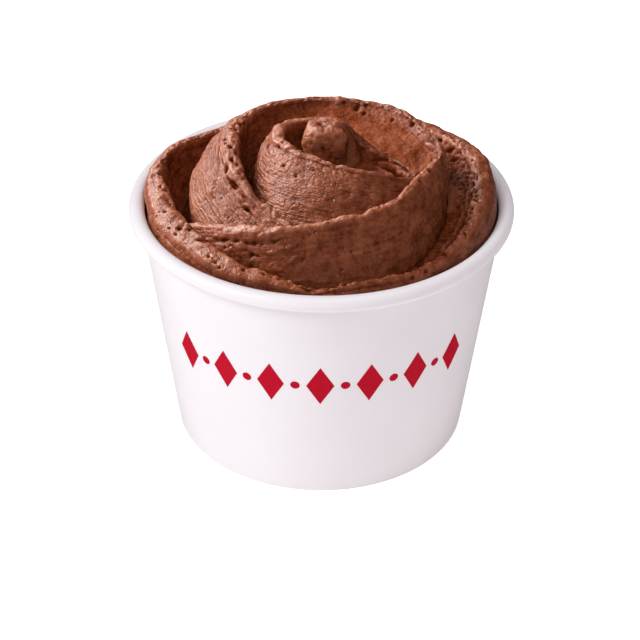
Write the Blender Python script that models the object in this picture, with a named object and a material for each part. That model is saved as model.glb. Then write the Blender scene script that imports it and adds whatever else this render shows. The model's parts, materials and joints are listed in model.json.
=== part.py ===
"""A gelato cup: chocolate gelato folded into a rose, standing above the brim of a white paper cup.

Frame: metres, +Z up, origin on the table at the middle of the cup's foot. The rose's front
faces -Y. Bearings are degrees anticlockwise from +X, seen from above.
"""
import math

import bmesh
import bpy
from mathutils import Vector, noise

MM = 0.001
MERGE = 0.02 * MM
SHARP_ANGLE = math.radians(40.0)

# Cup
CUP_HEIGHT = 60.0 * MM
RIM_RADIUS = 45.0 * MM
FOOT_RADIUS = 35.0 * MM
BEAD_RADIUS = 1.85 * MM
NECK_RADIUS = 42.2 * MM
NECK_HEIGHT = 56.0 * MM
PAPER = 0.6 * MM
GAP = 0.3 * MM
FOLD_HEIGHT = 6.0 * MM
BASE_TOP = 8.0 * MM
CURL_FROM, CURL_TO = 180.0, -120.0
CURL_STEPS = 10
CUP_SIDES = 64

# Gelato: heights in the keyed curves below are above the brim
BRIM = CUP_HEIGHT
BURIED = -10.0
SIDE_CLEARANCE = 0.5
BEAD_LIMIT = 40.95
OVER_BRIM = 0.6
OVER_BRIM_LIMIT = 41.6
FACE_STEPS = 4
LIP_STEPS = 2
INNER_DROP = 0.9
OUTER_DROP = 0.6
INNER_LEAN = 0.72
INNER_SAG = 0.3
FOOT_TUCK = 1.0
UNEVEN = 0.35
UNEVEN_SIZE = 7.0
UNEVEN_SHIFT = Vector((9.0, 3.0, 1.0))
CORE_SIDES = 56
CORE_TOP = ((0.0, 10.0), (8.0, 8.5), (14.0, 6.0), (20.0, 2.0), (27.0, -2.0), (33.0, -5.0), (39.0, -5.5))
BUD_CENTRE = (0.8, -0.6)
BUD_RINGS = ((4.6, 4.0), (4.7, 12.0), (4.9, 15.4), (4.7, 17.2), (3.8, 18.5), (2.0, 19.1))
BUD_SIDES = 16
BUD_SQUARENESS = 3.0


class Petal:
    """One folded petal, a band swept round the axis from one bearing to another.

    Every measure is a keyed curve of (bearing, millimetres) pairs: rim is the radius of the
    lip's inner edge, height its top, lip its width, foot and foot_height the end of the outer
    face, root and root_height the end of the inner one. Crest says how far across the lip its
    top lies, bulge how much the outer face swells and hollow how deep the inner one is.
    """

    def __init__(self, steps, first, last, bulge, hollow, crest, **curves):
        self.steps = steps
        self.first = first
        self.last = last
        self.bulge = bulge
        self.hollow = hollow
        self.crest = crest
        self.curves = curves

    @property
    def closed(self):
        """Whether the petal runs once round and meets itself."""
        return abs(abs(self.last - self.first) - 360.0) < 0.001

    def at(self, name, bearing):
        """Read one of the petal's measures at a bearing."""
        return keyed(self.curves[name], bearing)


INNER = Petal(
    steps=44, first=0.0, last=360.0, bulge=0.20, hollow=0.10, crest=0.35,
    rim=((0, 14.0), (11, 10.0), (22, 8.2), (44, 6.4), (70, 6.2), (100, 7.0), (150, 8.8), (205, 8.4),
         (235, 8.6), (268, 10.4), (290, 14.0), (305, 16.8), (320, 19.2), (334, 22.2), (348, 19.0),
         (360, 14.0)),
    height=((0, 10.4), (11, 12.0), (22, 13.4), (44, 16.4), (70, 16.8), (110, 16.2), (180, 16.4), (270, 15.8),
            (305, 14.6), (322, 12.6), (340, 10.8), (360, 10.4)),
    lip=((0, 1.8), (60, 2.0), (110, 2.4), (180, 3.0), (230, 2.0), (290, 1.2), (360, 1.8)),
    foot=((0, 18.5), (30, 13.6), (60, 12.0), (100, 12.4), (140, 14.4), (180, 16.0), (210, 18.2), (235, 22.4),
          (270, 25.5), (320, 25.5), (345, 23.5), (360, 18.5)),
    foot_height=((0, 7.5), (100, 7.0), (150, 3.0), (270, 3.5), (320, 5.0), (360, 7.5)),
    root=((0, 4.5), (90, 3.5), (180, 6.0), (270, 6.0), (310, 6.0), (336, 5.5), (360, 4.5)),
    root_height=((0, 9.0), (40, 10.5), (90, 10.0), (180, 9.0), (270, 9.0), (310, 8.5), (336, 8.5),
                 (360, 9.0)),
)
MIDDLE = Petal(
    steps=54, first=-98.0, last=-370.0, bulge=0.16, hollow=0.10, crest=0.40,
    rim=((-98, 26.6), (-115, 23.6), (-130, 21.2), (-158, 19.4), (-183, 18.9), (-205, 20.4), (-235, 21.2),
         (-270, 21.0), (-296, 21.8), (-318, 23.3), (-336, 24.0), (-346, 24.6), (-356, 26.4), (-370, 27.4)),
    height=((-98, 7.0), (-130, 9.4), (-158, 12.2), (-190, 14.0), (-290, 14.2), (-338, 14.2), (-360, 12.6),
            (-370, 8.0)),
    lip=((-98, 1.4), (-130, 2.6), (-165, 4.4), (-200, 4.6), (-235, 2.6), (-300, 2.2), (-340, 1.4),
         (-370, 1.2)),
    foot=((-98, 29.0), (-130, 31.5), (-160, 31.6), (-190, 30.2), (-230, 29.0), (-330, 29.0), (-370, 29.4)),
    foot_height=((-98, 1.0), (-150, 2.5), (-200, 4.0), (-330, 4.0), (-370, 2.0)),
    root=((-98, 24.0), (-130, 19.5), (-180, 17.0), (-215, 16.0), (-250, 11.5), (-300, 8.5), (-340, 11.0),
          (-370, 17.0)),
    root_height=((-98, 3.0), (-190, 1.5), (-220, 3.5), (-250, 8.0), (-300, 10.0), (-335, 9.0), (-370, 6.0)),
)
FRONT = Petal(
    steps=38, first=16.0, last=-152.0, bulge=0.10, hollow=0.10, crest=0.40,
    rim=((16, 23.2), (6, 25.2), (-1, 27.0), (-8, 25.7), (-30, 24.5), (-58, 26.2), (-86, 26.8), (-108, 29.2),
         (-123, 30.6), (-137, 31.2), (-152, 33.2)),
    height=((16, 11.0), (4, 12.6), (-30, 12.8), (-58, 11.8), (-86, 10.0), (-108, 8.8), (-123, 7.6),
            (-137, 5.4), (-152, 2.0)),
    lip=((16, 1.2), (-1, 1.6), (-60, 2.2), (-110, 2.4), (-152, 2.0)),
    foot=((16, 27.6), (-12, 29.6), (-28, 31.8), (-60, 36.0), (-90, 36.6), (-120, 35.6), (-152, 35.6)),
    foot_height=((16, 3.0), (-12, 1.0), (-40, -2.0), (-120, -1.5), (-152, -2.0)),
    root=((16, 21.6), (-40, 22.5), (-86, 24.6), (-123, 27.0), (-152, 29.5)),
    root_height=((16, 6.0), (-60, 5.0), (-152, -1.0)),
)
LEFT = Petal(
    steps=44, first=92.0, last=274.0, bulge=0.16, hollow=0.16, crest=0.30,
    rim=((92, 33.6), (120, 33.8), (140, 34.8), (157, 38.0), (168, 37.8), (177, 36.9), (190, 35.0),
         (208, 34.3), (220, 34.4), (235, 36.0), (260, 37.4), (274, 38.4)),
    height=((92, 2.4), (140, 4.0), (160, 4.1), (180, 4.2), (210, 3.2), (235, 2.2), (256, 0.7), (274, -1.4)),
    lip=((92, 3.0), (140, 2.8), (158, 2.6), (170, 3.4), (185, 5.0), (205, 6.2), (235, 4.8), (274, 2.2)),
    foot=((92, 40.0), (150, 42.0), (180, 41.6), (230, 40.8), (274, 41.0)),
    foot_height=((92, -2.5), (200, -2.5), (274, -4.0)),
    root=((92, 31.0), (140, 31.0), (180, 32.6), (215, 32.4), (274, 36.0)),
    root_height=((92, -2.0), (180, -4.5), (215, -4.0), (274, -4.5)),
)
RIGHT = Petal(
    steps=52, first=-96.0, last=148.0, bulge=0.16, hollow=0.16, crest=0.25,
    rim=((-96, 38.6), (-77, 37.5), (-58, 38.6), (-48, 38.4), (-38, 37.3), (-24, 35.8), (-6, 35.0), (13, 35.4),
         (40, 34.2), (90, 34.0), (130, 34.4), (148, 35.4)),
    height=((-96, -1.6), (-84, -0.2), (-60, 0.6), (-40, 2.0), (-20, 4.2), (0, 5.4), (22, 5.9), (45, 5.0),
            (65, 4.4), (120, 4.0), (148, 1.0)),
    lip=((-96, 1.8), (-60, 2.0), (-30, 3.8), (0, 4.9), (30, 5.0), (90, 4.0), (148, 2.4)),
    foot=((-96, 41.0), (-30, 41.0), (20, 40.9), (90, 41.0), (148, 39.0)),
    foot_height=((-96, -4.0), (-30, -2.0), (90, -2.0), (148, -3.0)),
    root=((-96, 36.5), (-62, 35.2), (-40, 32.0), (-10, 29.6), (40, 28.6), (148, 31.0)),
    root_height=((-96, -4.0), (-62, -2.5), (-35, 0.0), (-8, 1.6), (40, 3.0), (90, 1.5), (148, -2.0)),
)
CURLED_TIP = Petal(
    steps=14, first=128.0, last=-20.0, bulge=0.10, hollow=0.05, crest=0.5,
    rim=((128, 2.4), (80, 2.8), (40, 3.6), (15, 4.0), (-20, 4.0)),
    height=((128, 15.6), (85, 17.6), (50, 17.6), (25, 15.8), (5, 13.2), (-20, 9.8)),
    lip=((128, 1.4), (40, 3.0), (-20, 2.4)),
    foot=((128, 6.4), (40, 9.8), (-20, 8.4)),
    foot_height=((128, 11.0), (40, 10.5), (-20, 7.5)),
    root=((128, 1.8), (-20, 1.8)),
    root_height=((128, 11.0), (-20, 8.0)),
)
PETALS = {
    "inner_petal": INNER,
    "middle_petal": MIDDLE,
    "front_petal": FRONT,
    "left_petal": LEFT,
    "right_petal": RIGHT,
    "curled_tip": CURLED_TIP,
}


def clear_scene():
    """Remove what the scene holds before the cup is made."""
    for old in list(bpy.data.objects):
        bpy.data.objects.remove(old, do_unlink=True)


def keyed(curve, bearing):
    """Read a smooth curve through (bearing, value) keys."""
    keys = sorted(curve)
    if bearing <= keys[0][0]:
        return keys[0][1]
    if bearing >= keys[-1][0]:
        return keys[-1][1]
    index = max(i for i, key in enumerate(keys[:-1]) if key[0] <= bearing)
    (x0, y0), (x1, y1) = keys[index], keys[index + 1]
    before = keys[max(index - 1, 0)]
    after = keys[min(index + 2, len(keys) - 1)]
    slope0 = (y1 - before[1]) / (x1 - before[0])
    slope1 = (after[1] - y0) / (after[0] - x0)
    span = x1 - x0
    t = (bearing - x0) / span
    ease = t * t * (3.0 - 2.0 * t)
    lead = t * (1.0 - t) * (1.0 - t) * span * slope0
    tail = t * t * (t - 1.0) * span * slope1
    return y0 + (y1 - y0) * ease + lead + tail


def bend(start, middle, end, steps):
    """Points along a quadratic curve, its start left out."""
    points = []
    for step in range(1, steps + 1):
        t = step / steps
        weights = ((1 - t) ** 2, 2 * t * (1 - t), t * t)
        point = [sum(w * p[axis] for w, p in zip(weights, (start, middle, end))) for axis in (0, 1)]
        points.append(tuple(point))
    return points


def side_radius(height):
    """Outer radius of the cup's tapered side at a height above the table."""
    return FOOT_RADIUS + (NECK_RADIUS - FOOT_RADIUS) * height / NECK_HEIGHT


def room_radius(height):
    """Largest radius in millimetres that gelato may have at a height above the brim."""
    if height >= OVER_BRIM:
        return OVER_BRIM_LIMIT
    inside = (side_radius(BRIM + height * MM) - PAPER) / MM - SIDE_CLEARANCE
    return min(inside, BEAD_LIMIT)


def petal_section(petal, bearing):
    """Closed outline of a petal at one bearing, as (radius, height) pairs in millimetres."""
    turn = math.radians(bearing)
    spot = Vector((math.cos(turn), math.sin(turn), 0.0)) * petal.at("rim", bearing) / UNEVEN_SIZE
    rim = petal.at("rim", bearing) + UNEVEN * noise.noise(spot)
    top = petal.at("height", bearing) + UNEVEN * noise.noise(spot + UNEVEN_SHIFT)
    width = petal.at("lip", bearing)
    inner_width = petal.crest * width
    outer_width = width - inner_width
    inner_edge = (rim, top - INNER_DROP * inner_width)
    outer_edge = (rim + width, top - OUTER_DROP * outer_width)
    root = (petal.at("root", bearing), petal.at("root_height", bearing))
    foot = (petal.at("foot", bearing), petal.at("foot_height", bearing))
    inner_bend = (
        root[0] + (INNER_LEAN + petal.hollow) * (rim - root[0]),
        root[1] + INNER_SAG * (inner_edge[1] - root[1]),
    )
    run = (foot[0] - outer_edge[0], foot[1] - outer_edge[1])
    outer_bend = (
        outer_edge[0] + 0.5 * run[0] - petal.bulge * run[1],
        outer_edge[1] + 0.5 * run[1] + petal.bulge * run[0],
    )
    outline = [root] + bend(root, inner_bend, inner_edge, FACE_STEPS)
    outline += bend(inner_edge, (rim, top), (rim + inner_width, top), LIP_STEPS)
    outline += bend((rim + inner_width, top), (rim + width, top), outer_edge, LIP_STEPS)
    outline += bend(outer_edge, outer_bend, foot, FACE_STEPS)
    outline.append((foot[0] - FOOT_TUCK, min(foot[1], 0.0) + BURIED))
    outline.append((root[0], min(root[1], 0.0) + BURIED))
    return [(min(r, room_radius(z)), z) for r, z in outline]


def to_space(radius, bearing, height):
    """A point from millimetres round the axis and above the brim."""
    angle = math.radians(bearing)
    return Vector((radius * math.cos(angle) * MM, radius * math.sin(angle) * MM, BRIM + height * MM))


def mesh_object(name, bm):
    """Turn a closed bmesh into a named object with its faces pointing out."""
    bmesh.ops.recalc_face_normals(bm, faces=bm.faces)
    bmesh.ops.triangulate(bm, faces=[face for face in bm.faces if len(face.verts) > 4])
    mesh = bpy.data.meshes.new(name)
    bm.to_mesh(mesh)
    bm.free()
    mesh.shade_smooth()
    mesh.set_sharp_from_angle(angle=SHARP_ANGLE)
    made = bpy.data.objects.new(name, mesh)
    bpy.context.scene.collection.objects.link(made)
    return made


def skin_rings(bm, rings, closed):
    """Join closed rings of points with quads; an open row of rings gets a flat cap at each end."""
    rows = [[bm.verts.new(point) for point in ring] for ring in rings]
    count = len(rows[0])
    for row in range(len(rows) if closed else len(rows) - 1):
        here, there = rows[row], rows[(row + 1) % len(rows)]
        for spot in range(count):
            after = (spot + 1) % count
            bm.faces.new((here[spot], here[after], there[after], there[spot]))
    if not closed:
        bm.faces.new(rows[0])
        bm.faces.new(rows[-1])


def turned(name, profile, sides, closed):
    """Spin (radius, height) points in metres once round the axis; an open outline gets flat ends."""
    bm = bmesh.new()
    rings = []
    for radius, height in profile:
        ring = []
        for side in range(sides):
            angle = 2 * math.pi * side / sides
            ring.append(Vector((radius * math.cos(angle), radius * math.sin(angle), height)))
        rings.append(ring)
    skin_rings(bm, rings, closed)
    return mesh_object(name, bm)


def swept_petal(name, petal):
    """Sweep a petal's outline round the axis into a closed band."""
    bm = bmesh.new()
    count = petal.steps if petal.closed else petal.steps + 1
    rings = []
    for step in range(count):
        bearing = petal.first + (petal.last - petal.first) * step / petal.steps
        rings.append([to_space(r, bearing, z) for r, z in petal_section(petal, bearing)])
    skin_rings(bm, rings, petal.closed)
    return mesh_object(name, bm)


def core():
    """The gelato that fills the cup, up to the bottoms of the folds."""
    low = BASE_TOP + GAP
    top = BRIM + CORE_TOP[-1][1] * MM
    inset = PAPER + SIDE_CLEARANCE * MM
    outline = [(side_radius(low) - inset, low), (side_radius(top) - inset, top)]
    outline += [(radius * MM, BRIM + height * MM) for radius, height in reversed(CORE_TOP)]
    return turned("gelato", outline, CORE_SIDES, closed=False)


def bud():
    """The blocky nub of gelato in the heart of the rose."""
    bm = bmesh.new()
    rings = []
    for radius, height in BUD_RINGS:
        ring = []
        for side in range(BUD_SIDES):
            angle = 2 * math.pi * (side + 0.5) / BUD_SIDES
            across, along = math.cos(angle), math.sin(angle)
            stretch = (abs(across) ** BUD_SQUARENESS + abs(along) ** BUD_SQUARENESS) ** (-1 / BUD_SQUARENESS)
            x = BUD_CENTRE[0] + radius * stretch * across
            y = BUD_CENTRE[1] + radius * stretch * along
            ring.append(Vector((x * MM, y * MM, BRIM + height * MM)))
        rings.append(ring)
    skin_rings(bm, rings, closed=False)
    return mesh_object("bud", bm)


def gelato():
    """Fuse the core, the bud and the petals into one solid."""
    whole = core()
    folds = bpy.data.collections.new("folds")
    bpy.context.scene.collection.children.link(folds)
    for piece in [bud()] + [swept_petal(name, petal) for name, petal in PETALS.items()]:
        bpy.context.scene.collection.objects.unlink(piece)
        folds.objects.link(piece)
    union = whole.modifiers.new("fuse", "BOOLEAN")
    union.operation = "UNION"
    union.operand_type = "COLLECTION"
    union.collection = folds
    union.solver = "EXACT"
    depsgraph = bpy.context.evaluated_depsgraph_get()
    fused = bpy.data.meshes.new_from_object(whole.evaluated_get(depsgraph))
    whole.modifiers.clear()
    whole.data = fused
    for piece in list(folds.objects):
        bpy.data.objects.remove(piece, do_unlink=True)
    bpy.data.collections.remove(folds)
    keep_outer_body(whole)
    return whole


def keep_outer_body(piece):
    """Drop sealed hollows and loose scraps that fusing leaves, and keep the largest body."""
    bm = bmesh.new()
    bm.from_mesh(piece.data)
    bmesh.ops.remove_doubles(bm, verts=bm.verts, dist=MERGE)
    bmesh.ops.dissolve_degenerate(bm, edges=bm.edges, dist=MERGE)
    unseen = set(bm.verts)
    bodies = []
    while unseen:
        stack = [unseen.pop()]
        body = list(stack)
        while stack:
            for edge in stack.pop().link_edges:
                for vert in edge.verts:
                    if vert in unseen:
                        unseen.remove(vert)
                        stack.append(vert)
                        body.append(vert)
        bodies.append(body)
    bodies.sort(key=len)
    for body in bodies[:-1]:
        bmesh.ops.delete(bm, geom=body, context="VERTS")
    bmesh.ops.triangulate(bm, faces=bm.faces)
    bm.to_mesh(piece.data)
    bm.free()
    piece.data.shade_smooth()
    piece.data.set_sharp_from_angle(angle=SHARP_ANGLE)


def curl_outlines():
    """Outer and inner faces of the rolled bead, from the cup's inside over the top and round."""
    centre = (RIM_RADIUS - BEAD_RADIUS, CUP_HEIGHT - BEAD_RADIUS)
    faces = []
    for reach in (BEAD_RADIUS, BEAD_RADIUS - PAPER):
        face = []
        for step in range(CURL_STEPS + 1):
            turn = math.radians(CURL_FROM + (CURL_TO - CURL_FROM) * step / CURL_STEPS)
            face.append((centre[0] + reach * math.cos(turn), centre[1] + reach * math.sin(turn)))
        faces.append(face)
    return faces


def cup_wall():
    """Tapered paper side, rolled out over the brim and folded in and up under the foot."""
    roll_outside, roll_inside = curl_outlines()
    fold_outside = -2 * PAPER - 2 * GAP
    fold_inside = fold_outside - PAPER
    profile = [(FOOT_RADIUS, 0.0), (NECK_RADIUS, NECK_HEIGHT)]
    profile += roll_inside
    profile += reversed(roll_outside)
    profile += [
        (NECK_RADIUS - PAPER, NECK_HEIGHT),
        (side_radius(PAPER) - PAPER, PAPER),
        (side_radius(PAPER) + fold_outside, PAPER),
        (side_radius(FOLD_HEIGHT) + fold_outside, FOLD_HEIGHT),
        (side_radius(FOLD_HEIGHT) + fold_inside, FOLD_HEIGHT),
        (FOOT_RADIUS + fold_inside, 0.0),
    ]
    return turned("cup_wall", profile, CUP_SIDES, closed=True)


def cup_base():
    """Raised paper disc whose skirt stands in the fold of the side."""
    skirt_foot = PAPER + GAP
    underside = BASE_TOP - PAPER
    clear = PAPER + GAP
    profile = [
        (side_radius(underside) - clear - PAPER, underside),
        (side_radius(skirt_foot) - clear - PAPER, skirt_foot),
        (side_radius(skirt_foot) - clear, skirt_foot),
        (side_radius(BASE_TOP) - clear, BASE_TOP),
    ]
    return turned("cup_base", profile, CUP_SIDES, closed=False)


def paint(piece, name, colour, roughness):
    """Give a piece its one plain material."""
    finish = bpy.data.materials.new(name)
    finish.use_nodes = True
    shader = finish.node_tree.nodes["Principled BSDF"]
    shader.inputs["Base Color"].default_value = (*colour, 1.0)
    shader.inputs["Roughness"].default_value = roughness
    shader.inputs["Metallic"].default_value = 0.0
    piece.data.materials.clear()
    piece.data.materials.append(finish)


def main():
    clear_scene()
    paint(cup_wall(), "side_paper", (0.84, 0.81, 0.84), 0.55)
    paint(cup_base(), "base_paper", (0.82, 0.79, 0.81), 0.6)
    paint(gelato(), "chocolate_gelato", (0.19, 0.062, 0.032), 0.45)


main()
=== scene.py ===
"""Looks of a gelato cup: chocolate gelato folded into a rose, in a white paper cup.

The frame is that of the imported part: metres, +Z up, the rose's front facing -Y. Bearings are
degrees anticlockwise from +X. The gelato is shaped in millimetres, its heights above the brim.
"""
from __future__ import annotations

import json
import logging
import math
from dataclasses import dataclass
from enum import Enum

import bmesh
import bpy
import numpy as np
from mathutils import Euler, Matrix, Vector

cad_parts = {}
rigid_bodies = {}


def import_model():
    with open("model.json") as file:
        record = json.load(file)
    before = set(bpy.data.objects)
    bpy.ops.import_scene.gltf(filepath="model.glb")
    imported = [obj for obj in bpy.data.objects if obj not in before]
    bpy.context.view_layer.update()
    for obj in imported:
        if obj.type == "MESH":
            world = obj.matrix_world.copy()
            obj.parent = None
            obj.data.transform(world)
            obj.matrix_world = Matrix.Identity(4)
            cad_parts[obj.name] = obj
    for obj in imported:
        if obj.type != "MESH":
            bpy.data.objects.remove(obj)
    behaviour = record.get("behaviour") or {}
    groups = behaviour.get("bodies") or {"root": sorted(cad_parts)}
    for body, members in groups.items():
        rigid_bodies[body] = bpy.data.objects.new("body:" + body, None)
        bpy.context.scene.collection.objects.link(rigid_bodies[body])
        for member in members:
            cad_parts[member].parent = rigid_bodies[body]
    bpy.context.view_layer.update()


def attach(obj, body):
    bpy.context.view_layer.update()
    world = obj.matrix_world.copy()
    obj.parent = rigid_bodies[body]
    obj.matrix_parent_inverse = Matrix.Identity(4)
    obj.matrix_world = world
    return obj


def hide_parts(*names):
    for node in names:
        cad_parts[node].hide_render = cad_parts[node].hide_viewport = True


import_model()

BODY = "root"
MM = 0.001
LOG = logging.getLogger("gelato_cup")
PHOTO_WIDTH = 640
TINY = 1e-9

# How close doubled points are merged, in metres: on the cup, on a fold, and once they are fused.
MERGE = 0.002 * MM
FINE_MERGE = 0.001 * MM
SCRAP = 0.01 * MM

# Depth of a pore over its width, radius in millimetres of the circle that strokes are laid on,
# and the squareness of a circle.
PORE_DEPTH = 1.5
STROKE_RADIUS = 25.0
ROUND = 2.0

# A petal's section: how far its lip's edges drop, as shares of the lip, how its inner face leans
# and sags, and in millimetres how far its foot is tucked in and how deep its ends are buried.
# A curve of it has at least FEWEST_STEPS, counted where USUAL_REACH per cent are shorter.
INNER_DROP = 0.9
OUTER_DROP = 0.6
INNER_LEAN = 0.72
INNER_SAG = 0.3
FOOT_TUCK = 1.0
BURIED = -10.0
FEWEST_STEPS = 3
USUAL_REACH = 80

Keys = tuple[tuple[float, float], ...]
Colour = tuple[float, float, float]
Range = tuple[float, float]
Noise = tuple[float, float]


class Stroke(Enum):
    """How the spatula left a face of gelato."""

    SMEARED = "smeared"
    BRUSHED = "brushed"
    WRINKLED = "wrinkled"
    CRUMBLED = "crumbled"


@dataclass(frozen=True)
class Relief:
    """Depths in millimetres of the marks that one kind of stroke leaves, and how combed it looks."""

    lumps: float
    lines: float
    fine_lines: float
    crumbs: float
    combed: float

    @staticmethod
    def of(stroke: Stroke) -> "Relief":
        """Pick the relief of a kind of stroke."""
        return {
            Stroke.SMEARED: Relief(0.60, 0.09, 0.06, 0.13, 0.12),
            Stroke.BRUSHED: Relief(0.45, 0.17, 0.14, 0.06, 1.0),
            Stroke.WRINKLED: Relief(0.50, 0.08, 0.08, 0.17, 0.50),
            Stroke.CRUMBLED: Relief(0.55, 0.03, 0.05, 0.32, 0.0),
        }[stroke]


@dataclass(frozen=True)
class Mark:
    """A pore, crack or crease: from one (bearing, across) place to another on a petal.

    Across is in millimetres from the lip's crest, positive down the outer face.
    """

    start: tuple[float, float]
    end: tuple[float, float]
    width: float
    depth: float


def creased(width: float, depth: float, *places: tuple[float, float]) -> tuple[Mark, ...]:
    """Join (bearing, across) places into a crease, or a ridge where depth is negative."""
    return tuple(Mark(start, end, width, depth) for start, end in zip(places, places[1:]))


def pores(*spots: tuple[float, float, float]) -> tuple[Mark, ...]:
    """Make pores at (bearing, across) places, each with its width, PORE_DEPTH times as deep."""
    return tuple(Mark((turn, across), (turn, across), width, PORE_DEPTH * width)
                 for turn, across, width in spots)


def pair(radius: np.ndarray, height: np.ndarray) -> np.ndarray:
    """Join radii and heights into points."""
    return np.stack([radius, height], axis=-1)


@dataclass(frozen=True)
class Petal:
    """One folded petal: a band swept round the axis, its measures keyed by bearing.

    Rim is the radius of the lip's inner edge, height the lip's top and lip its width. Foot and
    foot_height end the outer face, root and root_height the inner one. Crest says how far
    across the lip its top lies, bulge how the outer face swells and hollow how the inner sinks.
    """

    name: str
    first: float
    last: float
    bulge: float
    hollow: float
    crest: float
    rim: Keys
    height: Keys
    lip: Keys
    foot: Keys
    foot_height: Keys
    root: Keys
    root_height: Keys
    outside: Stroke = Stroke.SMEARED
    inside: Stroke = Stroke.SMEARED
    ragged: float = 0.25
    soften: int = 3
    marks: tuple[Mark, ...] = ()

    @property
    def closed(self) -> bool:
        """Whether the petal runs once round and meets itself."""
        return math.isclose(abs(self.last - self.first), 360.0)

    def section(self, bearings: np.ndarray, grain: float) -> tuple[np.ndarray, np.ndarray]:
        """Work out the petal's closed outline at each bearing.

        Args:
            bearings: where to cut it.
            grain: rough distance between points in millimetres.

        Returns:
            (radius, height) points of shape (bearings, points, 2), and for each point which
            part it belongs to: 1 inner face, 2 and 3 the lip's two sides, 4 outer face, 0 the
            part that stays buried.
        """
        rim, top, width = (keyed(keys, bearings) for keys in (self.rim, self.height, self.lip))
        inner_width = self.crest * width
        outer_width = width - inner_width
        inner_edge = pair(rim, top - INNER_DROP * inner_width)
        outer_edge = pair(rim + width, top - OUTER_DROP * outer_width)
        root = pair(keyed(self.root, bearings), keyed(self.root_height, bearings))
        foot = pair(keyed(self.foot, bearings), keyed(self.foot_height, bearings))
        lean = INNER_LEAN + self.hollow
        inner_bend = pair(root[:, 0] + lean * (rim - root[:, 0]),
                          root[:, 1] + INNER_SAG * (inner_edge[:, 1] - root[:, 1]))
        run = foot - outer_edge
        outer_bend = outer_edge + 0.5 * run + self.bulge * pair(-run[:, 1], run[:, 0])
        crest = pair(rim + inner_width, top)
        deep_foot = pair(foot[:, 0] - FOOT_TUCK, np.minimum(foot[:, 1], 0.0) + BURIED)
        deep_root = pair(root[:, 0], np.minimum(root[:, 1], 0.0) + BURIED)
        curves = (
            (1, root, inner_bend, inner_edge),
            (2, inner_edge, pair(rim, top), crest),
            (3, crest, pair(rim + width, top), outer_edge),
            (4, outer_edge, outer_bend, foot),
            (0, foot, (foot + deep_foot) / 2, deep_foot),
            (0, deep_foot, (deep_foot + deep_root) / 2, deep_root),
            (0, deep_root, (deep_root + root) / 2, root),
        )
        outline, parts = [], []
        for part, start, middle, end in curves:
            reach = np.linalg.norm(middle - start, axis=1) + np.linalg.norm(end - middle, axis=1)
            usual = int(np.percentile(reach, USUAL_REACH) / grain)
            steps = max(usual, FEWEST_STEPS) if part else FEWEST_STEPS
            share = (np.arange(1, steps + 1) / steps)[None, :, None]
            outline.append((1 - share) ** 2 * start[:, None] + 2 * share * (1 - share) * middle[:, None]
                           + share ** 2 * end[:, None])
            parts += [part] * steps
        whole, part = np.concatenate(outline, axis=1), np.array(parts)
        for _ in range(self.soften):
            mean = (np.roll(whole, 1, axis=1) + 2 * whole + np.roll(whole, -1, axis=1)) / 4
            whole = np.where(part[None, :, None] > 0, mean, whole)
        return whole, part


INNER = Petal(
    name="inner_petal", first=0.0, last=360.0, bulge=0.20, hollow=0.10, crest=0.35,
    rim=((0, 14.0), (11, 10.0), (22, 8.2), (44, 6.4), (70, 6.2), (100, 7.0), (150, 8.8), (205, 8.4),
         (235, 8.6), (268, 10.4), (290, 14.0), (305, 16.8), (320, 19.2), (334, 22.2), (348, 19.0),
         (360, 14.0)),
    height=((0, 10.4), (11, 12.0), (22, 13.4), (44, 16.4), (70, 16.8), (110, 16.2), (180, 16.4), (270, 15.8),
            (305, 14.6), (322, 12.6), (340, 10.8), (360, 10.4)),
    lip=((0, 1.8), (60, 2.0), (110, 2.4), (180, 3.0), (230, 2.0), (290, 1.2), (360, 1.8)),
    foot=((0, 18.5), (30, 13.6), (60, 12.0), (100, 12.4), (140, 14.4), (180, 16.0), (210, 18.2), (235, 22.4),
          (270, 25.5), (320, 25.5), (345, 23.5), (360, 18.5)),
    foot_height=((0, 7.5), (100, 7.0), (150, 3.0), (270, 3.5), (320, 5.0), (360, 7.5)),
    root=((0, 4.5), (90, 3.5), (180, 6.0), (270, 6.0), (310, 6.0), (336, 5.5), (360, 4.5)),
    root_height=((0, 9.0), (40, 10.5), (90, 10.0), (180, 9.0), (270, 9.0), (310, 8.5), (336, 8.5),
                 (360, 9.0)),
    outside=Stroke.WRINKLED, ragged=0.60, soften=1,
    marks=pores((230, 4.9, 0.45), (247, 6.2, 0.40), (169, 3.3, 0.40), (218, 5.5, 0.35), (205, 2.0, 0.40),
                (262, 3.4, 0.35), (186, 4.4, 0.45))
    + creased(0.9, 1.6, (352, -4.6), (344, -4.2), (336, -3.4))
    + creased(0.45, -0.55, (356, -2.6), (350, -1.8), (343, -1.9), (334, -1.6)),
)
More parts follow.
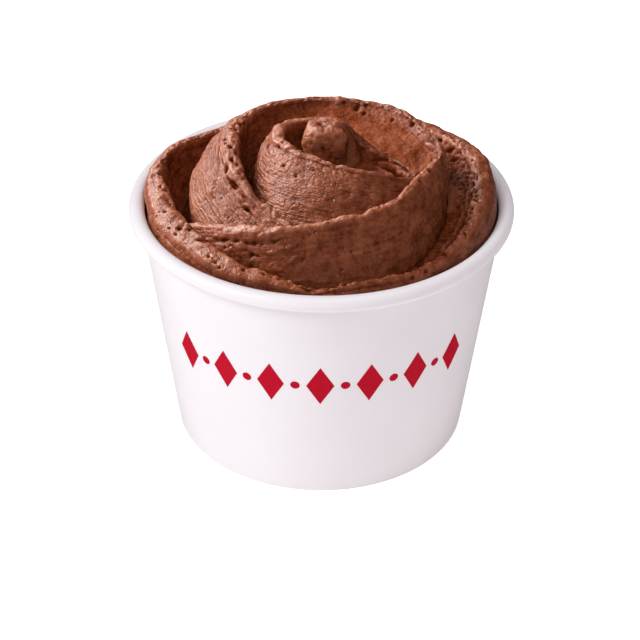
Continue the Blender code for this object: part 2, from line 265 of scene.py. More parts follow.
MIDDLE = Petal(
    name="middle_petal", first=-98.0, last=-370.0, bulge=0.16, hollow=0.10, crest=0.40,
    rim=((-98, 26.6), (-115, 23.6), (-130, 21.2), (-158, 19.4), (-183, 18.9), (-205, 20.4), (-235, 21.2),
         (-270, 21.0), (-296, 21.8), (-318, 23.3), (-336, 24.0), (-346, 24.6), (-356, 26.4), (-370, 27.4)),
    height=((-98, 7.0), (-130, 9.4), (-158, 12.2), (-190, 14.0), (-290, 14.2), (-338, 14.2), (-360, 12.6),
            (-370, 8.0)),
    lip=((-98, 1.4), (-130, 2.6), (-165, 4.4), (-200, 4.6), (-235, 2.6), (-300, 2.2), (-340, 1.4),
         (-370, 1.2)),
    foot=((-98, 29.0), (-130, 31.5), (-160, 31.6), (-190, 30.2), (-230, 29.0), (-330, 29.0), (-370, 29.4)),
    foot_height=((-98, 1.0), (-150, 2.5), (-200, 4.0), (-330, 4.0), (-370, 2.0)),
    root=((-98, 24.0), (-130, 19.5), (-180, 17.0), (-215, 16.0), (-250, 11.5), (-300, 8.5), (-340, 11.0),
          (-370, 17.0)),
    root_height=((-98, 3.0), (-190, 1.5), (-220, 3.5), (-250, 8.0), (-300, 10.0), (-335, 9.0), (-370, 6.0)),
    outside=Stroke.BRUSHED, ragged=0.75,
    marks=creased(0.50, 1.0, (-155.4, 2.9), (-150.5, 3.0), (-143, 2.4), (-137, 2.1))
    + creased(0.45, 1.5, (-132.6, 4.0), (-127.4, 3.8))
    + creased(0.40, -0.45, (-154, 4.2), (-146, 3.6), (-136, 3.0), (-124, 2.6))
    + pores((-161.4, 2.3, 0.80), (-160.0, 2.9, 0.55), (-186, 1.5, 0.45), (-182.2, 1.5, 0.40),
            (-177, 0.0, 0.55), (-165.5, 0.2, 0.55), (-160.3, -0.9, 0.5),
            (-197.7, -1.0, 0.60), (-205.8, -1.2, 0.65), (-209.6, -1.8, 0.55), (-172, -1.2, 0.5),
            (-183, 8.7, 0.5), (-189, 6.5, 0.45), (-284, -1.3, 0.45), (-293, -2.4, 0.60), (-299, -3.2, 0.45),
            (-309, -0.6, 0.5), (-320, -3.0, 0.4), (-334, -1.4, 0.5), (-356, -2.2, 0.45)),
)
FRONT = Petal(
    name="front_petal", first=16.0, last=-152.0, bulge=0.10, hollow=0.10, crest=0.40,
    rim=((16, 23.2), (6, 25.2), (-1, 27.0), (-8, 25.7), (-30, 24.5), (-58, 26.2), (-86, 26.8), (-108, 29.2),
         (-123, 30.6), (-137, 31.2), (-152, 33.2)),
    height=((16, 11.0), (4, 12.6), (-30, 12.8), (-58, 11.8), (-86, 10.0), (-108, 8.8), (-123, 7.6),
            (-137, 5.4), (-152, 2.0)),
    lip=((16, 1.2), (-1, 1.6), (-60, 2.2), (-110, 2.4), (-152, 2.0)),
    foot=((16, 27.6), (-12, 29.6), (-28, 31.8), (-60, 36.0), (-90, 36.6), (-120, 35.6), (-152, 35.6)),
    foot_height=((16, 3.0), (-12, 1.0), (-40, -2.0), (-120, -1.5), (-152, -2.0)),
    root=((16, 21.6), (-40, 22.5), (-86, 24.6), (-123, 27.0), (-152, 29.5)),
    root_height=((16, 6.0), (-60, 5.0), (-152, -1.0)),
    ragged=0.65,
    marks=creased(1.0, -0.35, (-137, 2.6), (-124, 2.1), (-112, 2.2), (-104, 1.2))
    + creased(0.6, 0.40, (-134, 4.4), (-125, 3.7), (-118, 4.1), (-111, 3.8), (-105, 2.8))
    + creased(0.45, 0.35, (-124, 6.3), (-119, 5.9), (-116.5, 6.8), (-113, 7.0))
    + creased(0.40, -0.30, (-105.4, 10.0), (-101.8, 8.0), (-98.8, 6.7))
    + creased(0.40, -0.32, (-110, 6.0), (-107, 5.3), (-102.4, 5.0), (-99, 3.5))
    + creased(0.40, 0.25, (-100, 9.2), (-96, 7.6))
    + pores((-31.8, 1.0, 0.50), (-21.7, 0.9, 0.55), (-8, 0.4, 0.5), (-116.6, 6.9, 0.5), (-128, 5.6, 0.4)),
)
LEFT = Petal(
    name="left_petal", first=92.0, last=274.0, bulge=0.16, hollow=0.16, crest=0.30,
    rim=((92, 33.6), (120, 33.8), (140, 34.8), (157, 38.0), (168, 37.8), (177, 36.9), (190, 35.0),
         (208, 34.3), (220, 34.4), (235, 36.0), (260, 37.4), (274, 38.4)),
    height=((92, 2.4), (140, 4.0), (160, 4.1), (180, 4.2), (210, 3.2), (235, 2.2), (256, 0.7), (274, -1.4)),
    lip=((92, 3.0), (140, 2.8), (158, 2.6), (170, 3.4), (185, 5.0), (205, 6.2), (235, 4.8), (274, 2.2)),
    foot=((92, 40.0), (150, 42.0), (180, 41.6), (230, 40.8), (274, 41.0)),
    foot_height=((92, -2.5), (200, -2.5), (274, -4.0)),
    root=((92, 31.0), (140, 31.0), (180, 32.6), (215, 32.4), (274, 36.0)),
    root_height=((92, -2.0), (180, -4.5), (215, -4.0), (274, -4.5)),
    ragged=0.85,
    marks=pores((211.8, 1.2, 0.70), (200.6, 1.6, 0.45), (201, -0.3, 0.40), (213.2, 3.1, 0.40),
                (209, 3.2, 0.35), (185.8, 0.3, 0.35), (188, -0.6, 0.40), (165.8, -0.4, 0.55),
                (169.1, -1.2, 0.60),
                (230.8, 2.1, 0.50), (232.4, 2.0, 0.35), (234, 2.4, 0.45), (236.4, 3.0, 0.40),
                (222, 0.6, 0.45), (244, 1.0, 0.5), (251, 0.2, 0.5))
    + creased(0.65, 1.5, (177.2, 1.4), (175.6, -0.4), (173.7, -2.2))
    + creased(0.55, 1.4, (264, 0.4), (271, 1.2)),
)
RIGHT = Petal(
    name="right_petal", first=-96.0, last=148.0, bulge=0.16, hollow=0.16, crest=0.25,
    rim=((-96, 38.6), (-77, 37.5), (-58, 38.6), (-48, 38.4), (-38, 37.3), (-24, 35.8), (-6, 35.0), (13, 35.4),
         (40, 34.2), (90, 34.0), (130, 34.4), (148, 35.4)),
    height=((-96, -1.6), (-84, -0.2), (-60, 0.6), (-40, 2.0), (-20, 4.2), (0, 5.4), (22, 5.9), (45, 5.0),
            (65, 4.4), (120, 4.0), (148, 1.0)),
    lip=((-96, 1.8), (-60, 2.0), (-30, 3.8), (0, 4.9), (30, 5.0), (90, 4.0), (148, 2.4)),
    foot=((-96, 41.0), (-30, 41.0), (20, 40.9), (90, 41.0), (148, 39.0)),
    foot_height=((-96, -4.0), (-30, -2.0), (90, -2.0), (148, -3.0)),
    root=((-96, 36.5), (-62, 35.2), (-40, 32.0), (-10, 29.6), (40, 28.6), (148, 31.0)),
    root_height=((-96, -4.0), (-62, -2.5), (-35, 0.0), (-8, 1.6), (40, 3.0), (90, 1.5), (148, -2.0)),
    inside=Stroke.CRUMBLED, ragged=0.85,
    marks=creased(0.50, 0.8, (4, -1.3), (-5, -1.9), (-12, -2.2), (-24, -2.3), (-36, -2.2), (-46, -1.8))
    + creased(0.40, -0.50, (6, -2.4), (-9, -3.2), (-17, -3.1), (-27, -3.3), (-42, -2.9))
    + pores((-8.2, -0.6, 0.65), (-15.1, 0.2, 0.50), (-19.4, -0.3, 0.45), (-22.1, -0.1, 0.50),
            (-27.7, -0.3, 0.50), (-36.5, -1.2, 0.50), (-45, -0.4, 0.4), (-55.1, 1.4, 0.50),
            (-60.2, 1.6, 0.40), (-33, 0.9, 0.4),
            (12, -0.6, 0.4), (26, -2.8, 0.8), (34, -2.2, 0.7), (40, -3.6, 0.8), (20, -4.0, 0.7)),
)
CURLED_TIP = Petal(
    name="curled_tip", first=128.0, last=-20.0, bulge=0.10, hollow=0.05, crest=0.5,
    rim=((128, 2.4), (80, 2.8), (40, 3.6), (15, 4.0), (-20, 4.0)),
    height=((128, 15.6), (85, 17.6), (50, 17.6), (25, 15.8), (5, 13.2), (-20, 9.8)),
    lip=((128, 1.4), (40, 3.0), (-20, 2.4)),
    foot=((128, 6.4), (40, 9.8), (-20, 8.4)),
    foot_height=((128, 11.0), (40, 10.5), (-20, 7.5)),
    root=((128, 1.8), (-20, 1.8)),
    root_height=((128, 11.0), (-20, 8.0)),
    ragged=0.30,
)
PETALS = (INNER, MIDDLE, FRONT, LEFT, RIGHT, CURLED_TIP)


class LatticeNoise:
    """Smooth gradient noise in three dimensions, the same in every run."""

    SIZE = 256

    def __init__(self, seed: int) -> None:
        """Draw the lattice.

        Args:
            seed: what the random draw starts from.
        """
        draw = np.random.RandomState(seed)
        self.order = draw.permutation(self.SIZE)
        slopes = draw.normal(size=(self.SIZE, 3))
        self.slopes = slopes / np.linalg.norm(slopes, axis=1, keepdims=True)

    def at(self, points: np.ndarray) -> np.ndarray:
        """Read the noise.

        Args:
            points: places, three numbers in the last axis.

        Returns:
            Values of about -0.7 to 0.7, one for each place.
        """
        flat = points.reshape(-1, 3)
        cell = np.floor(flat).astype(int)
        local = flat - cell
        ease = local ** 3 * (local * (local * 6 - 15) + 10)
        total = np.zeros(len(flat))
        for corner in range(8):
            step = np.array([corner & 1, corner >> 1 & 1, corner >> 2 & 1])
            spot = (cell + step) % self.SIZE
            index = self.order[spot[:, 0]]
            for axis in (1, 2):
                index = self.order[(index + spot[:, axis]) % self.SIZE]
            weight = np.prod(np.where(step == 1, ease, 1 - ease), axis=1)
            total += weight * np.sum(self.slopes[index] * (local - step), axis=1)
        return total.reshape(points.shape[:-1])


def keyed(keys: Keys, bearings: np.ndarray) -> np.ndarray:
    """Read a smooth curve through (bearing, value) keys.

    Args:
        keys: the pairs, in either order of bearing.
        bearings: where to read it.

    Returns:
        One value for each bearing.
    """
    table = np.array(sorted(keys), dtype=float)
    x, y = table[:, 0], table[:, 1]
    last = len(x) - 1
    index = np.clip(np.searchsorted(x, bearings, side="right") - 1, 0, last - 1)
    before, after = np.maximum(index - 1, 0), np.minimum(index + 2, last)
    x0, x1, y0, y1 = x[index], x[index + 1], y[index], y[index + 1]
    slope0 = (y1 - y[before]) / (x1 - x[before])
    slope1 = (y[after] - y0) / (x[after] - x0)
    span = x1 - x0
    t = np.clip((bearings - x0) / span, 0.0, 1.0)
    ease = t * t * (3 - 2 * t)
    return y0 + (y1 - y0) * ease + t * (1 - t) ** 2 * span * slope0 + t * t * (t - 1) * span * slope1


class NodeBuilder:
    """Short hand for filling a node tree."""

    def __init__(self, tree: bpy.types.NodeTree) -> None:
        """Keep the tree that is to be filled.

        Args:
            tree: a material's or a modifier's node tree.
        """
        self.tree = tree

    def add(self, kind: str, inputs: dict | None = None, **settings: object) -> bpy.types.Node:
        """Add a node.

        Args:
            kind: the node's type name.
            inputs: values or sockets for its inputs, by name or index.
            settings: properties of the node.

        Returns:
            The node.
        """
        node = self.tree.nodes.new(kind)
        for name, value in settings.items():
            setattr(node, name, value)
        for key, value in (inputs or {}).items():
            socket = node.inputs[key]
            if isinstance(value, bpy.types.NodeSocket):
                self.join(value, socket)
            else:
                socket.default_value = value
        return node

    def join(self, source: bpy.types.NodeSocket, target: bpy.types.NodeSocket) -> None:
        """Link one node's output to another's input."""
        self.tree.links.new(source, target)

    def split(self, vector: bpy.types.NodeSocket) -> bpy.types.NodeOutputs:
        """Take a vector apart into its three numbers."""
        return self.add("ShaderNodeSeparateXYZ", {0: vector}).outputs

    def position(self) -> bpy.types.NodeSocket:
        """Read each point's place."""
        return self.add("GeometryNodeInputPosition").outputs[0]

    def turned(self, radius: object, angle: object, height: object) -> bpy.types.NodeSocket:
        """Turn a radius, an angle and a height into a place."""
        return self.add("ShaderNodeCombineXYZ", {
            0: self.math("MULTIPLY", radius, self.math("COSINE", angle)),
            1: self.math("MULTIPLY", radius, self.math("SINE", angle)),
            2: height,
        }).outputs[0]

    def math(self, operation: str, *values: object) -> bpy.types.NodeSocket:
        """Add a Math node of an operation and return its result."""
        return self.add("ShaderNodeMath", dict(enumerate(values)), operation=operation).outputs[0]

    def noise(self, vector: bpy.types.NodeSocket, scale: float, detail: float = 3.0) -> bpy.types.NodeSocket:
        """Add a Noise Texture and return its factor."""
        inputs = {"Vector": vector, "Scale": scale, "Detail": detail}
        return self.add("ShaderNodeTexNoise", inputs).outputs[0]

    def weigh(self, *parts: tuple[bpy.types.NodeSocket, float]) -> bpy.types.NodeSocket:
        """Add up sockets, each times its weight."""
        total = self.math("MULTIPLY", *parts[0])
        for socket, weight in parts[1:]:
            total = self.math("MULTIPLY_ADD", socket, weight, total)
        return total

    def ramp(self, value: bpy.types.NodeSocket, low: object, high: object,
             to: tuple[float, float] = (0.0, 1.0)) -> bpy.types.NodeSocket:
        """Stretch a value from low..high to another range, clamped."""
        inputs = {"Value": value, "From Min": low, "From Max": high, "To Min": to[0], "To Max": to[1]}
        return self.add("ShaderNodeMapRange", inputs).outputs[0]

    def mix(self, factor: object, first: object, second: object) -> bpy.types.NodeSocket:
        """Mix two colours and return the result."""
        node = self.add("ShaderNodeMix", {0: factor}, data_type="RGBA")
        for key, value in ((6, first), (7, second)):
            if isinstance(value, bpy.types.NodeSocket):
                self.join(value, node.inputs[key])
            else:
                node.inputs[key].default_value = (*value, 1.0)
        return node.outputs[2]


def new_finish(name: str) -> tuple[bpy.types.Material, NodeBuilder, bpy.types.NodeInputs]:
    """Start a material.

    Args:
        name: the material's name.

    Returns:
        The material, a builder for its nodes and the inputs of its Principled shader.
    """
    finish = bpy.data.materials.new(name)
    finish.use_nodes = True
    return finish, NodeBuilder(finish.node_tree), finish.node_tree.nodes["Principled BSDF"].inputs


@dataclass(frozen=True)
class PaperFinish:
    """Coated white cup paper: faint lilac cast, satin, with a fine fibre tooth."""

    name: str = "coated_paper"
    colour: Colour = (0.785, 0.745, 0.768)
    shade: Colour = (0.765, 0.723, 0.747)
    cloud_scale: float = 60.0
    cloud_range: Range = (0.35, 0.70)
    fibre: Noise = (1800.0, 4.0)
    tooth: float = 0.06
    tooth_depth: float = 0.1 * MM
    roughness: float = 0.48
    gloss: float = 0.40

    def make(self) -> bpy.types.Material:
        """Build the material."""
        finish, tree, shader = new_finish(self.name)
        place = tree.add("ShaderNodeTexCoord").outputs["Object"]
        cloud = tree.ramp(tree.noise(place, self.cloud_scale), *self.cloud_range)
        tree.join(tree.mix(cloud, self.colour, self.shade), shader["Base Color"])
        fibre = tree.noise(place, *self.fibre)
        bump = tree.add("ShaderNodeBump", {"Height": fibre, "Strength": self.tooth,
                                           "Distance": self.tooth_depth})
        tree.join(bump.outputs[0], shader["Normal"])
        shader["Roughness"].default_value = self.roughness
        shader["Specular IOR Level"].default_value = self.gloss
        return finish


@dataclass(frozen=True)
class InkFinish:
    """Flat red ink printed on the paper, a little deeper in patches."""

    name: str = "red_ink"
    colour: Colour = (0.48, 0.0010, 0.018)
    deeper: float = 0.86
    patch_scale: float = 900.0
    patch_range: Range = (0.30, 0.75)
    roughness: float = 0.42
    gloss: float = 0.05

    def make(self) -> bpy.types.Material:
        """Build the material."""
        finish, tree, shader = new_finish(self.name)
        place = tree.add("ShaderNodeTexCoord").outputs["Object"]
        patchy = tree.ramp(tree.noise(place, self.patch_scale), *self.patch_range)
        deep = tuple(self.deeper * part for part in self.colour)
        tree.join(tree.mix(patchy, self.colour, deep), shader["Base Color"])
        shader["Roughness"].default_value = self.roughness
        shader["Specular IOR Level"].default_value = self.gloss
        return finish


@dataclass(frozen=True)
class GelatoFinish:
    """Moist chocolate gelato: mottled brown, with pores and spatula streaks. Its colour also holds
    painted light: ridges and raised marks are painted paler as a painted highlight, and creases and
    pores darker as painted shade.

    Streaks and wrinkles are sized in millimetres, and each Noise is a scale and a detail. The
    weights say how much each mark adds to the tone, painted shade and highlight included, and to
    the height.
    """

    name: str = "chocolate_gelato"
    # dark and pale are the gelato's own browns, and the tone mix also lays them as painted shade in creases
    # and pores and as painted highlight on ridges.
    dark: Colour = (0.072, 0.0140, 0.0040)
    middle: Colour = (0.178, 0.0395, 0.0130)
    pale: Colour = (0.290, 0.092, 0.042)
    tone_steps: tuple[float, float, float] = (0.78, 1.10, 1.58)
    streak_length: float = 14.0
    streak_width: float = 0.45
    streak_detail: float = 3.0
    wrinkle_length: float = 3.0
    wrinkle_width: float = 1.0
    wrinkle_detail: float = 2.0
    least_combed: float = 0.12
    patches: Noise = (130.0, 1.0)
    patch_range: Range = (0.35, 0.65)
    patch_strength: Range = (0.5, 1.5)
    mottle: Noise = (260.0, 4.0)
    grain: Noise = (1150.0, 6.0)
    grit: Noise = (3000.0, 2.0)
    pore_scale: float = 620.0
    pore_edge: Range = (0.32, 0.14)
    pore_places: Noise = (330.0, 1.0)
    pore_choice: Range = (0.62, 0.72)
    painted_pore_shade: float = 0.6
    # Tone weights: mottle is random tone. Relief and wrinkle paint creases darker and ridges paler, a painted
    # shade and highlight. Line, grain and grit are random tone and also a painted highlight on what the bump
    # raises.
    tone_and_painted_light_weights: tuple[tuple[str, float], ...] = (
        ("relief", 0.80), ("mottle", 0.65), ("line", 0.45), ("grain", 0.40), ("grit", 0.30),
        ("wrinkle", 0.90))
    height_weights: tuple[tuple[str, float], ...] = (
        ("line", 0.60), ("wrinkle", 1.20), ("grain", 0.45), ("grit", 0.16), ("pore", -0.60))
    grain_height: float = 0.7 * MM
    wet: Noise = (800.0, 2.0)
    wet_range: Range = (0.30, 0.70)
    roughness_range: Range = (0.26, 0.52)
    gloss: float = 0.30
    gloss_relief: Range = (0.18, 0.50)
    inner_fade: Range = (-3.5, 0.3)
    inner_gloss: float = 0.12

    def make(self) -> bpy.types.Material:
        """Build the material."""
        finish, tree, shader = new_finish(self.name)
        place = tree.add("ShaderNodeTexCoord").outputs["Object"]
        faces = tree.split(tree.add("ShaderNodeUVMap", uv_map="across").outputs[0])
        marks = self.marks(tree, place, faces[1])
        # The tone adds painted shade and painted highlight from the relief and the raised marks to the random
        # mottle: low tone turns dark, high tone pale.
        tone = tree.weigh(*((marks[name], weight) for name, weight in self.tone_and_painted_light_weights))
        low, middle, high = self.tone_steps
        body = tree.mix(tree.ramp(tone, low, middle), self.dark, self.middle)
        body = tree.mix(tree.ramp(tone, middle, high), body, self.pale)
        # Pores are painted dark: painted shade inside the holes.
        body = tree.mix(tree.math("MULTIPLY", marks["pore"], self.painted_pore_shade), body, self.dark)
        tree.join(body, shader["Base Color"])
        spread = tree.ramp(tree.noise(place, *self.wet), *self.wet_range, to=self.roughness_range)
        tree.join(spread, shader["Roughness"])
        height = tree.weigh(*((marks[name], weight) for name, weight in self.height_weights))
        bump = tree.add("ShaderNodeBump", {"Height": height, "Strength": 1.0, "Distance": self.grain_height})
        tree.join(bump.outputs[0], shader["Normal"])
        outer = tree.ramp(faces[0], *self.inner_fade, to=(self.inner_gloss, 1.0))
        proud = tree.ramp(marks["relief"], *self.gloss_relief)
        sheen = tree.math("MULTIPLY", tree.math("MULTIPLY", proud, outer), self.gloss)
        tree.join(sheen, shader["Specular IOR Level"])
        return finish

    def marks(self, tree: NodeBuilder, place: bpy.types.NodeSocket,
              brushed: bpy.types.NodeSocket) -> dict[str, bpy.types.NodeSocket]:
        """Draw the gelato's marks.

        Args:
            tree: the material's nodes.
            place: where on the piece.
            brushed: how combed the face is, from 0 to 1.

        Returns:
            A factor for each kind of mark, by name.
        """
        streak = self.drawn_out(tree, self.streak_length, self.streak_width, self.streak_detail)
        fold = self.drawn_out(tree, self.wrinkle_length, self.wrinkle_width, self.wrinkle_detail)
        patchy = tree.ramp(tree.noise(place, *self.patches), *self.patch_range,
                           to=self.patch_strength)
        combed = tree.math("ADD", brushed, self.least_combed)
        wrinkle = tree.math("MULTIPLY", tree.math("ABSOLUTE", tree.math("SUBTRACT", fold, 0.5)), patchy)
        cells = tree.add("ShaderNodeTexVoronoi", {"Vector": place, "Scale": self.pore_scale,
                                                  "Randomness": 1.0})
        chosen = tree.ramp(tree.noise(place, *self.pore_places), *self.pore_choice)
        return {
            "relief": tree.add("ShaderNodeAttribute", attribute_name="relief").outputs["Fac"],
            "line": tree.math("MULTIPLY", tree.math("SUBTRACT", streak, 0.5), combed),
            "wrinkle": tree.math("MULTIPLY", wrinkle, combed),
            "mottle": tree.noise(place, *self.mottle),
            "grain": tree.noise(place, *self.grain),
            "grit": tree.noise(place, *self.grit),
            "pore": tree.math("MULTIPLY", tree.ramp(cells.outputs["Distance"], *self.pore_edge), chosen),
        }

    @staticmethod
    def drawn_out(tree: NodeBuilder, length: float, width: float, detail: float) -> bpy.types.NodeSocket:
        """Noise that is drawn out along each fold's sweep.

        Args:
            tree: the material's nodes.
            length: rough size along the sweep in millimetres.
            width: rough size across it in millimetres.
            detail: how many finer layers the noise has.

        Returns:
            The noise's factor.
        """
        sweep, over = (tree.split(tree.add("ShaderNodeUVMap", uv_map=layer).outputs[0])
                       for layer in ("sweep", "across"))
        spot = tree.add("ShaderNodeCombineXYZ", {
            0: tree.math("DIVIDE", sweep[0], length),
            1: tree.math("DIVIDE", sweep[1], length),
            2: tree.math("DIVIDE", over[0], width),
        }).outputs[0]
        return tree.noise(spot, 1.0, detail)


def closed_up(mesh: bpy.types.Mesh, distance: float) -> None:
    """Merge a mesh's doubled points and turn its faces outwards.

    Args:
        mesh: changed in place.
        distance: how close points are merged, in metres.
    """
    bm = bmesh.new()
    bm.from_mesh(mesh)
    bmesh.ops.remove_doubles(bm, verts=bm.verts, dist=distance)
    bmesh.ops.recalc_face_normals(bm, faces=bm.faces)
    bm.to_mesh(mesh)
    bm.free()


def plain_mesh(piece: bpy.types.Object, sharp_degrees: float) -> None:
    """Turn an object's evaluated modifiers into its mesh, and shade it smooth.

    Args:
        piece: the object, whose modifiers are removed.
        sharp_degrees: edges that turn more than this stay sharp.
    """
    evaluated = piece.evaluated_get(bpy.context.evaluated_depsgraph_get())
    made = bpy.data.meshes.new_from_object(evaluated)
    piece.modifiers.clear()
    old, piece.data = piece.data, made
    bpy.data.meshes.remove(old)
    made.name = piece.name
    closed_up(made, MERGE)
    made.shade_smooth()
    made.set_sharp_from_angle(angle=math.radians(sharp_degrees))


def link(name: str, mesh: bpy.types.Mesh) -> bpy.types.Object:
    """Make an object of a mesh and put it in the scene."""
    piece = bpy.data.objects.new(name, mesh)
    bpy.context.scene.collection.objects.link(piece)
    return piece


@dataclass
class NodeTool:
    """A Geometry Nodes modifier built in the script, with named inputs."""

    name: str

    def __post_init__(self) -> None:
        """Start the tree with a geometry input and output."""
        self.tree = bpy.data.node_groups.new(self.name, "GeometryNodeTree")
        self.tree.interface.new_socket("Geometry", in_out="INPUT", socket_type="NodeSocketGeometry")
        self.tree.interface.new_socket("Geometry", in_out="OUTPUT", socket_type="NodeSocketGeometry")
        self.build = NodeBuilder(self.tree)
        self.sockets: dict[str, str] = {}
        self.values: dict[str, object] = {}
        self.source = self.build.add("NodeGroupInput")

    def size(self, name: str, kind: str, value: object) -> bpy.types.NodeSocket:
        """Add a named input.

        Args:
            name: the input's name.
            kind: its socket type.
            value: what the modifier gives it.

        Returns:
            The socket to read it from.
        """
        item = self.tree.interface.new_socket(name, in_out="INPUT", socket_type=kind)
        self.sockets[name] = item.identifier
        self.values[name] = value
        return self.source.outputs[name]

    def finish(self, geometry: bpy.types.NodeSocket, material: bpy.types.NodeSocket) -> None:
        """End the tree in Realize Instances and Set Material."""
        real = self.build.add("GeometryNodeRealizeInstances", {"Geometry": geometry}).outputs[0]
        dressed = self.build.add("GeometryNodeSetMaterial", {"Geometry": real, "Material": material})
        self.build.add("NodeGroupOutput", {0: dressed.outputs[0]})

    def apply(self, piece: bpy.types.Object, sharp_degrees: float) -> None:
        """Run the tree on an object and keep the plain mesh."""
        modifier = piece.modifiers.new(self.name, "NODES")
        modifier.node_group = self.tree
        for name, value in self.values.items():
            modifier[self.sockets[name]] = value
        plain_mesh(piece, sharp_degrees)


@dataclass
class PaperCup:
    """The tapered paper cup, turned from its own sections, and the print on its front.

    The seam stands where the paper laps: it steps up within seam_edge and fades out over
    seam_fade, both in radians past its bearing, and stops seam_margin below the neck.
    """

    height: float = 60.0 * MM
    rim_radius: float = 45.0 * MM
    foot_radius: float = 35.0 * MM
    neck_radius: float = 42.2 * MM
    neck_height: float = 56.0 * MM
    bead_radius: float = 1.85 * MM
    paper: float = 0.6 * MM
    gap: float = 0.3 * MM
    fold_height: float = 6.0 * MM
    base_top: float = 8.0 * MM
    sides: int = 240
    edge_round: float = 0.15 * MM
    seam_bearing: float = 68.0
    seam_step: float = 0.22 * MM
    seam_edge: float = 0.006
    seam_fade: Range = (0.16, 0.11)
    seam_margin: float = 2.0 * MM
    curl_steps: int = 26
    curl_end: float = -120.0
    rise_steps: int = 22
    base_edge: float = 0.5 * MM
    sharp_degrees: float = 35.0
    print_height: float = 33.5 * MM
    print_reach: float = 50.0
    print_count: int = 7
    lozenge_width: float = 6.4 * MM
    lozenge_height: float = 11.0 * MM
    dot_size: float = 2.2 * MM
    print_lift: float = 0.03 * MM
    lozenge_points: int = 9
    dot_sides: int = 20

    def side_radius(self, height: float) -> float:
        """Outer radius of the tapered side at a height above the table."""
        return self.foot_radius + (self.neck_radius - self.foot_radius) * height / self.neck_height

    def side_profile(self) -> list[tuple[float, float]]:
        """Section of the side: up the outside, round the rolled bead and down the inside.

        Returns:
            (radius, height) points in metres, the last the same as the first.
        """
        centre = (self.rim_radius - self.bead_radius, self.height - self.bead_radius)
        turns = np.radians(np.linspace(180.0, self.curl_end, self.curl_steps + 1))
        roll_out, roll_in = (
            [(centre[0] + reach * math.cos(turn), centre[1] + reach * math.sin(turn)) for turn in turns]
            for reach in (self.bead_radius, self.bead_radius - self.paper)
        )
        fold = -2 * self.paper - 2 * self.gap
        soft = self.edge_round
        outer = [(self.foot_radius - soft, 0.0), (self.foot_radius, soft)]
        rise = np.linspace(soft, self.neck_height, self.rise_steps)[1:]
        outer += [(self.side_radius(level), level) for level in rise]
        inner = [
            (self.neck_radius - self.paper, self.neck_height),
            (self.side_radius(self.paper) - self.paper, self.paper),
            (self.side_radius(self.paper) + fold, self.paper),
            (self.side_radius(self.fold_height) + fold, self.fold_height),
            (self.side_radius(self.fold_height) + fold - self.paper, self.fold_height),
            (self.foot_radius + fold - self.paper, soft),
            (self.foot_radius + fold - self.paper + soft, 0.0),
        ]
        profile = outer + roll_in + roll_out[::-1] + inner
        return profile + profile[:1]

    def base_profile(self) -> list[tuple[float, float]]:
        """Section of the raised base, from its middle below to its middle above."""
        clear = self.paper + self.gap
        under = self.base_top - self.paper
        return [
            (0.0, under),
            (self.side_radius(under) - clear - self.paper - MM, under),
            (self.side_radius(under) - clear - self.paper, under - self.base_edge),
            (self.side_radius(clear) - clear - self.paper, clear),
            (self.side_radius(clear) - clear, clear),
            (self.side_radius(self.base_top) - clear, self.base_top - self.base_edge),
            (self.side_radius(self.base_top) - clear - self.base_edge, self.base_top),
            (0.0, self.base_top),
        ]

    def turn(self, name: str, profile: list[tuple[float, float]], seam: float,
             finish: bpy.types.Material) -> bpy.types.Object:
        """Turn a section once round the axis with Geometry Nodes.

        Args:
            name: the piece's name.
            profile: (radius, height) points in metres.
            seam: how far the lapped strip of paper stands out at the seam.
            finish: the piece's material.

        Returns:
            The piece, a plain mesh.
        """
        mesh = bpy.data.meshes.new(name)
        mesh.from_pydata([(radius, 0.0, height) for radius, height in profile], [], [])
        piece = link(name, mesh)
        tool = NodeTool(name + "_turning")
        sides = tool.size("Sides", "NodeSocketInt", self.sides + 1)
        rows = tool.size("Rows", "NodeSocketInt", len(profile))
        step = tool.size("Seam Step", "NodeSocketFloat", seam)
        start = tool.size("Seam Bearing", "NodeSocketFloat", math.radians(self.seam_bearing))
        low = tool.size("Seam Foot", "NodeSocketFloat", self.fold_height)
        high = tool.size("Seam Top", "NodeSocketFloat", self.neck_height - self.seam_margin)
        material = tool.size("Material", "NodeSocketMaterial", finish)
        build = tool.build
        sheet = build.add("GeometryNodeMeshGrid", {"Size X": 1.0, "Size Y": 1.0, "Vertices X": sides,
                                                   "Vertices Y": rows}).outputs[0]
        where = build.split(build.position())
        angle = build.math("MULTIPLY", build.math("ADD", where[0], 0.5), 2 * math.pi)
        along = build.math("MULTIPLY", build.math("ADD", where[1], 0.5), build.math("SUBTRACT", rows, 1.0))
        section = build.add("GeometryNodeSampleIndex", {"Geometry": tool.source.outputs["Geometry"]},
                            data_type="FLOAT_VECTOR", domain="POINT")
        build.join(build.position(), section.inputs["Value"])
        build.join(build.math("ROUND", along), section.inputs["Index"])
        point = build.split(section.outputs[0])
        past = build.math("SUBTRACT", angle, start)
        lap = build.math("MULTIPLY", build.ramp(past, 0.0, self.seam_edge), build.ramp(past, *self.seam_fade))
        tall = build.math("MULTIPLY", build.ramp(point[2], low, build.math("ADD", low, MM)),
                          build.ramp(point[2], high, build.math("SUBTRACT", high, self.seam_margin)))
        lift = build.math("MULTIPLY", build.math("MULTIPLY", lap, tall), step)
        spot = build.turned(build.math("ADD", point[0], lift), angle, point[2])
        turned = build.add("GeometryNodeSetPosition", {"Geometry": sheet, "Position": spot}).outputs[0]
        whole = build.add("GeometryNodeMergeByDistance", {"Geometry": turned, "Distance": MERGE}).outputs[0]
        tool.finish(whole, material)
        tool.apply(piece, self.sharp_degrees)
        return piece

